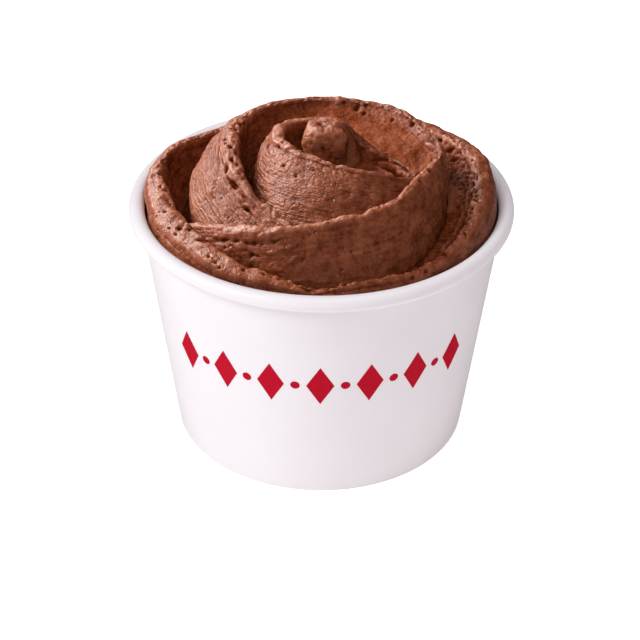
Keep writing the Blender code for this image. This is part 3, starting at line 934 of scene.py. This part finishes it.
    def printed_row(self, finish: bpy.types.Material) -> bpy.types.Object:
        """Lay a row of lozenges with dots between them on the front of the side.

        Args:
            finish: the ink.

        Returns:
            The piece, a plain mesh that stands a hair's breadth off the paper.
        """
        piece = link("printed_row", bpy.data.meshes.new("printed_row"))
        tool = NodeTool("printed_row_layout")
        count = tool.size("Lozenges", "NodeSocketInt", self.print_count)
        reach = tool.size("Reach", "NodeSocketFloat", math.radians(2 * self.print_reach))
        level = tool.size("Height", "NodeSocketFloat", self.print_height)
        foot = tool.size("Foot Radius", "NodeSocketFloat", self.foot_radius)
        slope = (self.neck_radius - self.foot_radius) / self.neck_height
        taper = tool.size("Taper", "NodeSocketFloat", slope)
        wide = tool.size("Lozenge Width", "NodeSocketFloat", self.lozenge_width)
        tall = tool.size("Lozenge Height", "NodeSocketFloat", self.lozenge_height)
        dot = tool.size("Dot Size", "NodeSocketFloat", self.dot_size)
        lift = tool.size("Ink Lift", "NodeSocketFloat", self.print_lift)
        material = tool.size("Material", "NodeSocketMaterial", finish)
        build = tool.build
        middle = build.math("ADD", foot, build.math("MULTIPLY", taper, level))
        square = build.add("GeometryNodeMeshGrid", {"Size X": math.sqrt(0.5), "Size Y": math.sqrt(0.5),
                                                    "Vertices X": self.lozenge_points,
                                                    "Vertices Y": self.lozenge_points}).outputs[0]
        turned = build.add("GeometryNodeTransform", {"Geometry": square, "Rotation": (0.0, 0.0, math.pi / 4)})
        size = build.add("ShaderNodeCombineXYZ", {0: wide, 1: tall, 2: 1.0}).outputs[0]
        lozenge = build.add("GeometryNodeTransform", {"Geometry": turned.outputs[0],
                                                      "Scale": size}).outputs[0]
        disc = build.add("GeometryNodeMeshCircle", {"Vertices": self.dot_sides, "Radius": 0.5},
                         fill_type="TRIANGLE_FAN")
        dot_size = build.add("ShaderNodeCombineXYZ", {0: dot, 1: dot, 2: 1.0}).outputs[0]
        spot = build.add("GeometryNodeTransform", {"Geometry": disc.outputs[0], "Scale": dot_size}).outputs[0]
        fewer = build.math("SUBTRACT", count, 1.0)
        pitch = build.math("DIVIDE", reach, fewer)
        flat_row = build.add("GeometryNodeJoinGeometry")
        for shape, number, shift in ((lozenge, count, 0.0), (spot, fewer, 0.5)):
            index = build.math("ADD", build.add("GeometryNodeInputIndex").outputs[0], shift)
            turn = build.math("SUBTRACT", build.math("MULTIPLY", index, pitch),
                              build.math("MULTIPLY", reach, 0.5))
            flat = build.add("ShaderNodeCombineXYZ", {0: build.math("MULTIPLY", turn, middle)}).outputs[0]
            line = build.add("GeometryNodeMeshLine", {"Count": number}).outputs[0]
            row = build.add("GeometryNodeSetPosition", {"Geometry": line, "Position": flat}).outputs[0]
            made = build.add("GeometryNodeInstanceOnPoints", {"Points": row, "Instance": shape}).outputs[0]
            real = build.add("GeometryNodeRealizeInstances", {"Geometry": made}).outputs[0]
            build.join(real, flat_row.inputs[0])
        thick = build.add("GeometryNodeExtrudeMesh", {"Mesh": flat_row.outputs[0], "Offset": (0.0, 0.0, 1.0),
                                                      "Offset Scale": 1.0, "Individual": False}).outputs[0]
        under = build.add("GeometryNodeFlipFaces", {"Mesh": flat_row.outputs[0]}).outputs[0]
        closed = build.add("GeometryNodeJoinGeometry")
        build.join(thick, closed.inputs[0])
        build.join(under, closed.inputs[0])
        where = build.split(build.position())
        angle = build.math("SUBTRACT", build.math("DIVIDE", where[0], middle), math.pi / 2)
        height = build.math("ADD", where[1], level)
        proud = build.math("MULTIPLY", build.math("SUBTRACT", where[2], 0.5),
                           build.math("MULTIPLY", lift, 2.0))
        radius = build.math("ADD", build.math("ADD", foot, build.math("MULTIPLY", taper, height)), proud)
        wrapped = build.turned(radius, angle, height)
        row = build.add("GeometryNodeSetPosition", {"Geometry": closed.outputs[0], "Position": wrapped})
        tool.finish(row.outputs[0], material)
        tool.apply(piece, self.sharp_degrees)
        return piece

    def build(self) -> list[bpy.types.Object]:
        """Make the side, the base and the print, each in its CAD node's place."""
        paper = PaperFinish().make()
        side = self.turn("paper_side", self.side_profile(), self.seam_step, paper)
        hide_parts("cup_wall")
        base = self.turn("paper_base", self.base_profile(), 0.0, paper)
        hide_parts("cup_base")
        ink = self.printed_row(InkFinish().make())
        return [side, base, ink]


@dataclass
class Sheet:
    """A grid of gelato points and the places its marks follow, all in millimetres.

    Rows run along a petal or round the axis, and columns run over the section. Across is the
    distance over the section from the crest of the lip, free how far a point may be moved.
    """

    points: np.ndarray
    bearings: np.ndarray
    across: np.ndarray
    free: np.ndarray
    brushed: np.ndarray
    ring: bool
    tube: bool

    def normals(self) -> np.ndarray:
        """Outward unit normals, in an array shaped like the points."""
        along = np.gradient(self.points, axis=0)
        over = np.gradient(self.points, axis=1)
        if self.ring:
            along[0] = along[-1] = (self.points[1] - self.points[-2]) / 2
        if self.tube:
            over[:, 0] = (self.points[:, 1] - self.points[:, -1]) / 2
            over[:, -1] = (self.points[:, 0] - self.points[:, -2]) / 2
        normal = np.cross(along, over)
        normal /= np.maximum(np.linalg.norm(normal, axis=2, keepdims=True), TINY)
        middle = self.points.mean(axis=1, keepdims=True)
        return normal if np.sum(normal * (self.points - middle)) > 0 else -normal

    def sweep_places(self) -> np.ndarray:
        """Each row's place on a circle of STROKE_RADIUS, so that strokes close on themselves."""
        turn = np.radians(self.bearings)
        row = np.stack([np.cos(turn), np.sin(turn)], axis=-1) * STROKE_RADIUS
        return np.broadcast_to(row[:, None, :], (*self.across.shape, 2))

    def solid(self, name: str, brim: float) -> bpy.types.Object:
        """Skin the grid into a closed object, with its marks' places as UV maps.

        Args:
            name: the object's name.
            brim: height of the brim in metres.

        Returns:
            The object, in metres.
        """
        rows, columns = self.across.shape
        index = np.arange(rows * columns).reshape(rows, columns)
        if self.ring:
            index[-1] = index[0]
        spots = self.points.reshape(-1, 3)[: (rows - 1 if self.ring else rows) * columns]
        over = np.arange(columns if self.tube else columns - 1)
        i, j = np.meshgrid(np.arange(rows - 1), over, indexing="ij")
        after = (j + 1) % columns
        at_row = np.stack([i, i + 1, i + 1, i], axis=-1).reshape(-1, 4)
        at_column = np.stack([j, j, after, after], axis=-1).reshape(-1, 4)
        faces = index[at_row, at_column].tolist()
        if not self.ring:
            faces += [index[0].tolist(), index[-1][::-1].tolist()]
        made = bpy.data.meshes.new(name)
        made.from_pydata((spots * MM + np.array([0.0, 0.0, brim])).tolist(), [], faces)
        layers = {"sweep": self.sweep_places(), "across": np.stack([self.across, self.brushed], axis=-1)}
        for layer_name, values in layers.items():
            flat = np.zeros((len(made.loops), 2), dtype=np.float32)
            used = values[at_row, at_column].reshape(-1, 2)
            flat[: len(used)] = used
            made.uv_layers.new(name=layer_name).uv.foreach_set("vector", flat.ravel())
        closed_up(made, FINE_MERGE)
        return bpy.data.objects.new(name, made)


@dataclass(frozen=True)
class Layer:
    """One size of unevenness: its grain in millimetres, its strength and its place in the noise."""

    grain: float
    strength: float = 1.0
    place: float = 0.0


@dataclass(frozen=True)
class Spatula:
    """How the spatula marks a fold of gelato. Grains, widths and depths are in millimetres.

    A line is the length, width and place in the noise of the ridges that it leaves. Each _level
    is what a noise is added to, and each _range holds the sum in.
    """

    lumps: tuple[Layer, ...] = (Layer(6.5), Layer(2.6, 0.65, 9.0))
    crumbs: tuple[Layer, ...] = (Layer(1.0), Layer(0.66, 0.9))
    line: tuple[float, float, float] = (13.0, 0.9, 3.0)
    line_level: float = 0.35
    line_depth: float = 2.2
    fine_line: tuple[float, float, float] = (7.0, 0.5, 5.0)
    turn_over: float = 1.6
    lip_middle: float = -0.3
    lip_width: float = 0.9
    wide_lip: float = 2.2
    patches: Layer = Layer(7.0, 1.8, 50.0)
    patch_level: float = 0.55
    patch_range: Range = (0.1, 1.3)
    dents: Layer = Layer(3.6, 1.0, 4.0)
    dent_start: float = 0.05
    dent_depth: float = 1.5
    tears: tuple[Layer, ...] = (Layer(1.3, 1.0, 8.0), Layer(0.8, 0.8, 60.0))
    tear_level: float = 0.1
    waves: Layer = Layer(4.0, 1.0, 30.0)
    fine_waves: Layer = Layer(1.9, 0.4, 30.0)
    wave_depth: float = 0.65
    pits: Layer = Layer(2.3, 1.0, 15.0)
    small_pits: Layer = Layer(1.1, 1.0, 25.0)
    pit_start: float = 0.50
    pit_edge: float = 0.08
    pit_depth: float = 0.40
    lip_pit_depth: float = 0.30
    wander: Layer = Layer(1.4, 0.35, 20.0)
    breaks: Layer = Layer(1.7, 2.2, 70.0)
    break_level: float = 0.4
    break_range: Range = (0.25, 1.3)
    crease_end: float = 1.15
    rough_lumps: tuple[Layer, ...] = (Layer(4.5), Layer(2.0, 0.6))
    rough_crumbs: tuple[Layer, ...] = (Layer(1.0), Layer(0.6, 0.6))


@dataclass
class GelatoRose:
    """The scoop: core, bud and petals, each marked by the spatula, fused into one body.

    Lengths are in millimetres, apart from the brim, and heights are above it.
    """

    petals: tuple[Petal, ...] = PETALS
    spatula: Spatula = Spatula()
    grain: float = 0.385
    brim: float = 60.0 * MM
    face_fade: float = 2.0
    face_hold: float = 0.15
    end_fade: float = 3.0
    rim_samples: int = 60
    half_lip: float = 1.5
    fewest_rows: int = 24
    comb_start: float = 0.6
    comb_fade: float = 1.5
    petal_shift: float = 13.0
    side_foot: float = 35.0
    side_slope: float = 7.2 / 56.0
    side_gap: float = 1.1
    bead_top: float = 0.6
    bead_limit: float = 40.95
    brim_limit: float = 41.6
    core_low: float = -51.7
    core_bend: float = -30.0
    core_sides: int = 220
    core_steps: int = 90
    core_still: int = 6
    core_top: Keys = ((0.0, 10.0), (8.0, 8.5), (14.0, 6.0), (20.0, 2.0), (27.0, -2.0), (33.0, -5.0),
                      (39.0, -5.5))
    bud_centre: tuple[float, float] = (0.8, -0.6)
    bud_rings: Keys = ((4.6, 4.0), (4.7, 12.0), (4.9, 15.4), (4.7, 17.2), (3.8, 18.5), (2.0, 19.1),
                       (0.0, 19.2))
    bud_sides: int = 72
    bud_steps: int = 46
    bud_still: float = 7.0
    bud_fade: float = 2.0
    bud_squareness: float = 3.0
    relief_weights: tuple[tuple[int, float], ...] = ((5, 2.2), (60, 0.30))
    relief_pull: float = 0.6
    sharp_degrees: float = 55.0

    def __post_init__(self) -> None:
        """Draw the noise that every mark starts from."""
        self.noise = LatticeNoise(seed=11)

    def room(self, height: np.ndarray) -> np.ndarray:
        """Largest radius that gelato may have at heights above the brim."""
        inside = self.side_foot + self.side_slope * (self.brim / MM + height) - self.side_gap
        return np.where(height >= self.bead_top, self.brim_limit, np.minimum(inside, self.bead_limit))

    def petal_sheet(self, petal: Petal) -> Sheet:
        """Lay a petal out as a fine grid.

        Args:
            petal: the fold to lay out.

        Returns:
            The grid, before any mark.
        """
        turn = math.radians(abs(petal.last - petal.first))
        samples = np.linspace(petal.first, petal.last, self.rim_samples)
        reach = float(np.mean(keyed(petal.rim, samples))) + self.half_lip
        rows = max(int(turn * reach / self.grain), self.fewest_rows) + 1
        bearings = np.linspace(petal.first, petal.last, rows)
        outline, part = petal.section(bearings, self.grain)
        radius = np.minimum(outline[..., 0], self.room(outline[..., 1]))
        angle = np.radians(bearings)[:, None]
        points = np.stack([radius * np.cos(angle), radius * np.sin(angle), outline[..., 1]], axis=-1)
        steps = np.linalg.norm(np.diff(points, axis=1, prepend=points[:, :1]), axis=2)
        across = np.cumsum(steps, axis=1)
        crest = int(np.argmax(part >= 3)) - 1
        across -= across[:, crest:crest + 1]
        faces = (part >= 1) & (part <= 4)
        inner_end = -across[:, np.argmax(faces)][:, None]
        outer_end = across[:, len(part) - 1 - np.argmax(faces[::-1])][:, None]
        free = (np.clip((inner_end + across) / self.face_fade, 0, 1)
                * np.clip((outer_end - across) / self.face_fade, 0, 1))
        free = np.where(faces[None, :], self.face_hold + (1 - self.face_hold) * free, 0.0)
        if not petal.closed:
            to_end = np.minimum(np.arange(rows), np.arange(rows)[::-1]) * self.grain
            free *= np.clip(to_end / self.end_fade, 0, 1)[:, None]
        brushed = np.where(across > 0, Relief.of(petal.outside).combed, Relief.of(petal.inside).combed)
        brushed = brushed * np.clip((np.abs(across) - self.comb_start) / self.comb_fade, 0, 1)
        return Sheet(points, bearings, across, free, brushed, ring=petal.closed, tube=True)

    def uneven(self, at: np.ndarray, shift: float, *layers: Layer) -> np.ndarray:
        """Add up layers of unevenness.

        Args:
            at: places, three numbers in the last axis.
            shift: moves the noise.
            layers: the sizes to add up.

        Returns:
            One value for each place.
        """
        return sum(layer.strength * self.noise.at(at / layer.grain + shift + layer.place) for layer in layers)

    def stroke(self, sheet: Sheet, shift: float, length: float, width: float, place: float) -> np.ndarray:
        """Read ridges that run along the sweep.

        Args:
            sheet: the petal's grid.
            shift: moves the noise.
            length: rough length of a ridge in millimetres.
            width: rough width of a ridge in millimetres.
            place: the ridges' place in the noise.

        Returns:
            One value for each place.
        """
        spots = np.concatenate([sheet.sweep_places() / length, sheet.across[..., None] / width], axis=-1)
        return self.noise.at(spots + place + shift)

    def marked(self, sheet: Sheet, petal: Petal, shift: float) -> None:
        """Press the spatula's marks, crumbs and pores into a petal's grid.

        Args:
            sheet: the petal's grid, changed in place.
            petal: the fold it belongs to.
            shift: moves the noise, so that no two folds share marks.
        """
        tool, at, across = self.spatula, sheet.points, sheet.across
        outside = np.clip(0.5 + across / tool.turn_over, 0, 1)
        outer, inner = Relief.of(petal.outside), Relief.of(petal.inside)

        def depth(name: str) -> np.ndarray:
            """Blend a depth of the outer face into that of the inner one."""
            return outside * getattr(outer, name) + (1 - outside) * getattr(inner, name)

        lip = np.exp(-((across - tool.lip_middle) / tool.lip_width) ** 2)
        move = depth("lumps") * self.uneven(at, shift, *tool.lumps)
        line = np.abs(self.stroke(sheet, shift, *tool.line))
        move += depth("lines") * (tool.line_level - tool.line_depth * line)
        move += depth("fine_lines") * self.stroke(sheet, shift, *tool.fine_line)
        move += depth("crumbs") * self.uneven(at, shift, *tool.crumbs)
        patchy = np.clip(tool.patch_level + self.uneven(at, shift, tool.patches), *tool.patch_range)
        dents = np.clip(self.uneven(at, shift, tool.dents) - tool.dent_start, 0, None)
        torn = tool.tear_level - tool.dent_depth * dents + patchy * self.uneven(at, 0.0, *tool.tears)
        move += petal.ragged * lip * torn
        waves = self.uneven(at, shift, tool.waves) + self.uneven(at, 0.0, tool.fine_waves)
        move += tool.wave_depth * petal.ragged * np.exp(-(across / tool.wide_lip) ** 2) * waves
        pits, small_pits = (
            np.clip((self.uneven(at, shift, layer) - tool.pit_start) / tool.pit_edge, 0, 1)
            for layer in (tool.pits, tool.small_pits)
        )
        move -= (tool.pit_depth + tool.lip_pit_depth * lip) * (pits + small_pits * patchy)
        move -= self.own_marks(sheet, petal.marks)
        sheet.points = at + sheet.normals() * (move * sheet.free)[..., None]
        radius = np.hypot(sheet.points[..., 0], sheet.points[..., 1])
        limit = np.minimum(1.0, self.room(sheet.points[..., 2]) / np.maximum(radius, TINY))
        sheet.points[..., :2] *= limit[..., None]

    def own_marks(self, sheet: Sheet, marks: tuple[Mark, ...]) -> np.ndarray:
        """Work out how deep a petal's own pores and creases go.

        Args:
            sheet: the petal's grid.
            marks: its pores and creases.

        Returns:
            A depth in millimetres for each place, less than nothing on a ridge.
        """
        tool, at, across = self.spatula, sheet.points, sheet.across
        scale = np.hypot(at[..., 0], at[..., 1])
        along = np.radians(sheet.bearings)[:, None] * scale
        wander = self.uneven(at, 0.0, tool.wander)
        least, spread = tool.break_range
        broken = least + spread * np.clip(tool.break_level + self.uneven(at, 0.0, tool.breaks), 0, 1)
        deep = np.zeros(across.shape)
        for mark in marks:
            start = (math.radians(mark.start[0]) * scale, mark.start[1])
            run = (math.radians(mark.end[0] - mark.start[0]) * scale, mark.end[1] - mark.start[1])
            length = np.maximum(run[0] ** 2 + run[1] ** 2, TINY)
            share = np.clip(((along - start[0]) * run[0] + (across - start[1]) * run[1]) / length, 0, 1)
            off = np.hypot(along - start[0] - share * run[0], across - start[1] - share * run[1])
            fade = np.sqrt(np.clip(tool.crease_end - (2 * share - 1) ** 2, 0, 1))
            taper = 1.0 if mark.start == mark.end else broken * fade
            deep += mark.depth * taper * np.exp(-((off + wander) / mark.width) ** 2)
        return deep

    def core_sheet(self) -> Sheet:
        """Lay out the gelato that fills the cup, up to the bottoms of the folds."""
        top = np.array(self.core_top)
        profile = [(0.0, self.core_low)]
        for level in (self.core_low, self.core_bend, top[-1, 1]):
            side = self.side_foot + self.side_slope * (self.brim / MM + level)
            profile.append((side - self.side_gap, level))
        crown = np.linspace(top[-1, 0], 0.0, self.core_steps)
        profile += list(zip(crown, np.interp(crown, top[:, 0], top[:, 1])))
        sheet = self.turned(np.array(profile), self.core_sides, (0.0, 0.0), ROUND)
        moves = np.where(np.arange(len(profile)) > self.core_still, 1.0, 0.0)
        sheet.free = moves[None, :] * np.ones_like(sheet.across)
        sheet.across = -sheet.across
        return sheet

    def bud_sheet(self) -> Sheet:
        """Lay out the blocky nub in the heart of the rose."""
        rings = np.array(self.bud_rings)
        reach = np.concatenate([[0.0], np.cumsum(np.hypot(*np.diff(rings, axis=0).T))])
        even = np.linspace(0.0, reach[-1], self.bud_steps)
        profile = pair(np.interp(even, reach, rings[:, 0]), np.interp(even, reach, rings[:, 1]))
        profile = np.concatenate([[(0.0, rings[0, 1])], profile])
        sheet = self.turned(profile, self.bud_sides, self.bud_centre, self.bud_squareness)
        sheet.free = np.clip((sheet.points[..., 2] - self.bud_still) / self.bud_fade, 0, 1)
        return sheet

    @staticmethod
    def turned(profile: np.ndarray, sides: int, centre: tuple[float, float], squareness: float) -> Sheet:
        """Turn a section round an upright line, round or squared off.

        Args:
            profile: (radius, height) points from the axis below to the axis above.
            sides: how many columns make a full turn.
            centre: where the upright line stands.
            squareness: ROUND for a circle, more for squarer.

        Returns:
            The grid.
        """
        bearings = np.linspace(0.0, 360.0, sides + 1)
        x, y = np.cos(np.radians(bearings)), np.sin(np.radians(bearings))
        stretch = (np.abs(x) ** squareness + np.abs(y) ** squareness) ** (-1 / squareness)
        radius = profile[None, :, 0] * stretch[:, None]
        points = np.stack([centre[0] + radius * x[:, None], centre[1] + radius * y[:, None],
                           np.broadcast_to(profile[None, :, 1], radius.shape)], axis=-1)
        steps = np.hypot(*np.diff(profile, axis=0).T)
        across = np.broadcast_to(np.concatenate([[0.0], np.cumsum(steps)])[None, :], radius.shape)
        blank = np.zeros(radius.shape)
        return Sheet(points, bearings, across, blank, blank.copy(), ring=True, tube=False)

    def roughened(self, sheet: Sheet, lumps: float, crumbs: float, shift: float) -> None:
        """Give a turned grid an uneven, crumbled face.

        Args:
            sheet: the grid, changed in place.
            lumps: depth of the broad unevenness in millimetres.
            crumbs: depth of the fine unevenness in millimetres.
            shift: moves the noise.
        """
        move = lumps * self.uneven(sheet.points, shift, *self.spatula.rough_lumps)
        move += crumbs * self.uneven(sheet.points, shift, *self.spatula.rough_crumbs)
        sheet.points = sheet.points + sheet.normals() * (move * sheet.free)[..., None]

    def fused(self) -> bpy.types.Object:
        """Fuse the core, the bud and the petals into one body.

        Returns:
            The body, its scraps and sealed hollows dropped.
        """
        core, bud = self.core_sheet(), self.bud_sheet()
        self.roughened(core, lumps=0.8, crumbs=0.25, shift=31.0)
        self.roughened(bud, lumps=1.0, crumbs=0.25, shift=47.0)
        whole = core.solid("gelato_rose", self.brim)
        bpy.context.scene.collection.objects.link(whole)
        folds = bpy.data.collections.new("folds")
        bpy.context.scene.collection.children.link(folds)
        folds.objects.link(bud.solid("bud", self.brim))
        for number, petal in enumerate(self.petals):
            sheet = self.petal_sheet(petal)
            self.marked(sheet, petal, shift=self.petal_shift * number)
            folds.objects.link(sheet.solid(petal.name, self.brim))
        union = whole.modifiers.new("fuse", "BOOLEAN")
        union.operation = "UNION"
        union.operand_type = "COLLECTION"
        union.collection = folds
        union.solver = "MANIFOLD"
        evaluated = whole.evaluated_get(bpy.context.evaluated_depsgraph_get())
        made = bpy.data.meshes.new_from_object(evaluated)
        whole.modifiers.clear()
        whole.data = made
        for piece in list(folds.objects):
            bpy.data.objects.remove(piece, do_unlink=True)
        bpy.data.collections.remove(folds)
        self.keep_outer_body(whole)
        return whole

    @staticmethod
    def keep_outer_body(piece: bpy.types.Object) -> None:
        """Drop the sealed hollows and loose scraps that fusing leaves.

        Args:
            piece: the fused object, changed in place.
        """
        bm = bmesh.new()
        bm.from_mesh(piece.data)
        bmesh.ops.remove_doubles(bm, verts=bm.verts, dist=SCRAP)
        bmesh.ops.dissolve_degenerate(bm, edges=bm.edges, dist=SCRAP)
        unseen = set(bm.verts)
        bodies = []
        while unseen:
            stack = [unseen.pop()]
            body = list(stack)
            while stack:
                for edge in stack.pop().link_edges:
                    for vert in edge.verts:
                        if vert in unseen:
                            unseen.remove(vert)
                            stack.append(vert)
                            body.append(vert)
            bodies.append(body)
        bodies.sort(key=len)
        for body in bodies[:-1]:
            bmesh.ops.delete(bm, geom=body, context="VERTS")
        bmesh.ops.triangulate(bm, faces=bm.faces)
        bm.to_mesh(piece.data)
        bm.free()

    # The gelato's material paints low relief darker and high relief paler: painted shade in creases, painted
    # highlight on ridges.
    def note_relief(self, piece: bpy.types.Object) -> None:
        """Store how far each point stands proud of its surroundings, from 0 to 1.

        Args:
            piece: the fused object, which gets a point attribute named relief.
        """
        mesh = piece.data
        count = len(mesh.vertices)
        spots, normals = np.zeros(count * 3), np.zeros(count * 3)
        mesh.vertices.foreach_get("co", spots)
        mesh.vertices.foreach_get("normal", normals)
        spots, normals = spots.reshape(-1, 3) / MM, normals.reshape(-1, 3)
        ends = np.zeros(len(mesh.edges) * 2, dtype=int)
        mesh.edges.foreach_get("vertices", ends)
        a, b = ends.reshape(-1, 2).T
        both, other = np.concatenate([a, b]), np.concatenate([b, a])
        share = np.maximum(np.bincount(both, minlength=count), 1)
        smooth = spots.copy()
        proud = np.zeros(count)
        weights = dict(self.relief_weights)
        for step in range(1, max(weights) + 1):
            mean = np.stack([np.bincount(both, weights=smooth[other, axis], minlength=count)
                             for axis in range(3)], axis=-1)
            smooth = (1 - self.relief_pull) * smooth + self.relief_pull * mean / share[:, None]
            if step in weights:
                proud += weights[step] * np.sum((spots - smooth) * normals, axis=1)
        value = np.clip(0.5 + proud, 0.0, 1.0)
        mesh.attributes.new("relief", "FLOAT", "POINT").data.foreach_set("value", value.astype(np.float32))

    def build(self) -> list[bpy.types.Object]:
        """Make the scoop in its CAD node's place."""
        rose = self.fused()
        self.note_relief(rose)
        rose.data.materials.clear()
        rose.data.materials.append(GelatoFinish().make())
        rose.data.shade_smooth()
        rose.data.set_sharp_from_angle(angle=math.radians(self.sharp_degrees))
        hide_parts("gelato")
        return [rose]


# The pieces that a lamp is kept off.
OFF_CUP_AND_FLOOR = ("floor", "paper_side", "paper_base", "printed_row")
OFF_GELATO = ("gelato_rose",)
OFF_FLOOR_AND_GELATO = ("floor", "gelato_rose")


@dataclass(frozen=True)
class Softbox:
    """A square lamp that faces the cup, kept off the pieces that flagged_off names."""

    name: str
    place: tuple[float, float, float]
    size: float
    watts: float
    colour: Colour = (1.0, 1.0, 1.0)
    flagged_off: tuple[str, ...] = ()
    glossy: bool = True
    diffuse: bool = True

    def hang(self, target: Vector) -> None:
        """Put the lamp in the scene, facing a point, with flags that keep it off some pieces.

        Args:
            target: the point.
        """
        lamp = bpy.data.lights.new(self.name, "AREA")
        lamp.energy, lamp.size, lamp.color = self.watts, self.size, self.colour
        holder = bpy.data.objects.new(self.name, lamp)
        holder.location = self.place
        holder.rotation_euler = (target - Vector(self.place)).to_track_quat("-Z", "Y").to_euler()
        holder.visible_glossy = self.glossy
        holder.visible_diffuse = self.diffuse
        bpy.context.scene.collection.objects.link(holder)
        if self.flagged_off:
            lit = bpy.data.collections.new(self.name + "_lights")
            for piece in bpy.context.scene.objects:
                if piece.type == "MESH" and piece.name not in self.flagged_off:
                    lit.objects.link(piece)
            holder.light_linking.receiver_collection = lit


@dataclass
class Studio:
    """White floor, soft lamps and the camera at the photograph's angle.

    The camera looks at target from distance, both in metres, tilted down by elevation in degrees
    and rolled in radians. Bounce is the colour of the sky and of the floor's glow.
    """

    target: tuple[float, float, float] = (-0.00017, 0.0, 0.02502)
    distance: float = 0.4877
    elevation: float = 33.92
    roll: float = 0.0071
    focal_pixels: float = 2004.1
    sensor: float = 36.0
    floor_size: float = 3.0
    floor_colour: Colour = (0.90, 0.90, 0.90)
    floor_roughness: float = 0.9
    lamp_target: tuple[float, float, float] = (0.0, 0.0, 0.06)
    sky: float = 0.40
    bounce: Colour = (1.0, 0.945, 0.960)
    floor_glow: float = 0.52
    lamps: tuple[Softbox, ...] = (
        Softbox("cup_key", (-0.55, -0.26, 0.55), 0.36, 4.0, (0.96, 1.0, 1.0), OFF_GELATO),
        Softbox("cup_top", (0.16, -0.10, 0.92), 0.40, 2.6, (0.995, 0.985, 1.0), OFF_GELATO),
        Softbox("cup_fill", (0.60, -0.30, 0.33), 0.36, 0.05, (1.0, 0.72, 0.76), OFF_FLOOR_AND_GELATO),
        Softbox("gelato_key", (-0.62, 0.34, 0.53), 0.38, 16.5, (1.0, 0.97, 0.94), OFF_CUP_AND_FLOOR),
        Softbox("gelato_sheen", (-0.34, 0.67, 0.46), 0.36, 5.0, (1.0, 0.99, 0.98), OFF_CUP_AND_FLOOR,
                diffuse=False),
        Softbox("gelato_fill", (-0.08, -0.42, 0.68), 0.60, 1.9, (1.0, 0.98, 0.96), OFF_CUP_AND_FLOOR,
                glossy=False),
    )

    def camera(self) -> None:
        """Set the camera that the photograph was taken with."""
        tilt = math.radians(self.elevation)
        holder = bpy.data.objects.new("camera", bpy.data.cameras.new("camera"))
        ahead = Vector((0.0, math.cos(tilt), -math.sin(tilt)))
        holder.location = Vector(self.target) - ahead * self.distance
        level = Euler((math.pi / 2 - tilt, 0.0, 0.0)).to_matrix()
        holder.rotation_euler = (level @ Matrix.Rotation(self.roll, 3, "Z")).to_euler()
        holder.data.lens = self.focal_pixels / PHOTO_WIDTH * self.sensor
        holder.data.sensor_width = self.sensor
        bpy.context.scene.collection.objects.link(holder)
        bpy.context.scene.camera = holder

    def floor(self) -> None:
        """Lay the pale floor."""
        half = self.floor_size / 2
        corners = [(-half, -half, 0.0), (half, -half, 0.0), (half, half, 0.0), (-half, half, 0.0)]
        mesh = bpy.data.meshes.new("floor")
        mesh.from_pydata(corners, [], [(0, 1, 2, 3)])
        piece = link("floor", mesh)
        finish, _, shader = new_finish("floor_white")
        shader["Base Color"].default_value = (*self.floor_colour, 1.0)
        shader["Roughness"].default_value = self.floor_roughness
        shader["Emission Color"].default_value = (*self.bounce, 1.0)
        shader["Emission Strength"].default_value = self.floor_glow
        mesh.materials.append(finish)
        piece.visible_glossy = False

    def build(self) -> None:
        """Set up floor, light, view and camera."""
        scene = bpy.context.scene
        world = bpy.data.worlds.new("studio")
        world.use_nodes = True
        backdrop = world.node_tree.nodes["Background"]
        backdrop.inputs["Color"].default_value = (*self.bounce, 1.0)
        backdrop.inputs["Strength"].default_value = self.sky
        scene.world = world
        world.cycles_visibility.glossy = False
        scene.view_settings.view_transform = "Standard"
        self.floor()
        for lamp in self.lamps:
            lamp.hang(Vector(self.lamp_target))
        self.camera()


def main() -> None:
    """Build the cup and its gelato, and set them in a plain studio."""
    logging.basicConfig(level=logging.INFO, format="%(name)s: %(message)s")
    for maker in (PaperCup(), GelatoRose()):
        for piece in maker.build():
            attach(piece, BODY)
            triangles = sum(len(face.vertices) - 2 for face in piece.data.polygons)
            LOG.info("%s: %s triangles", piece.name, triangles)
    Studio().build()


if __name__ == "__main__":
    main()
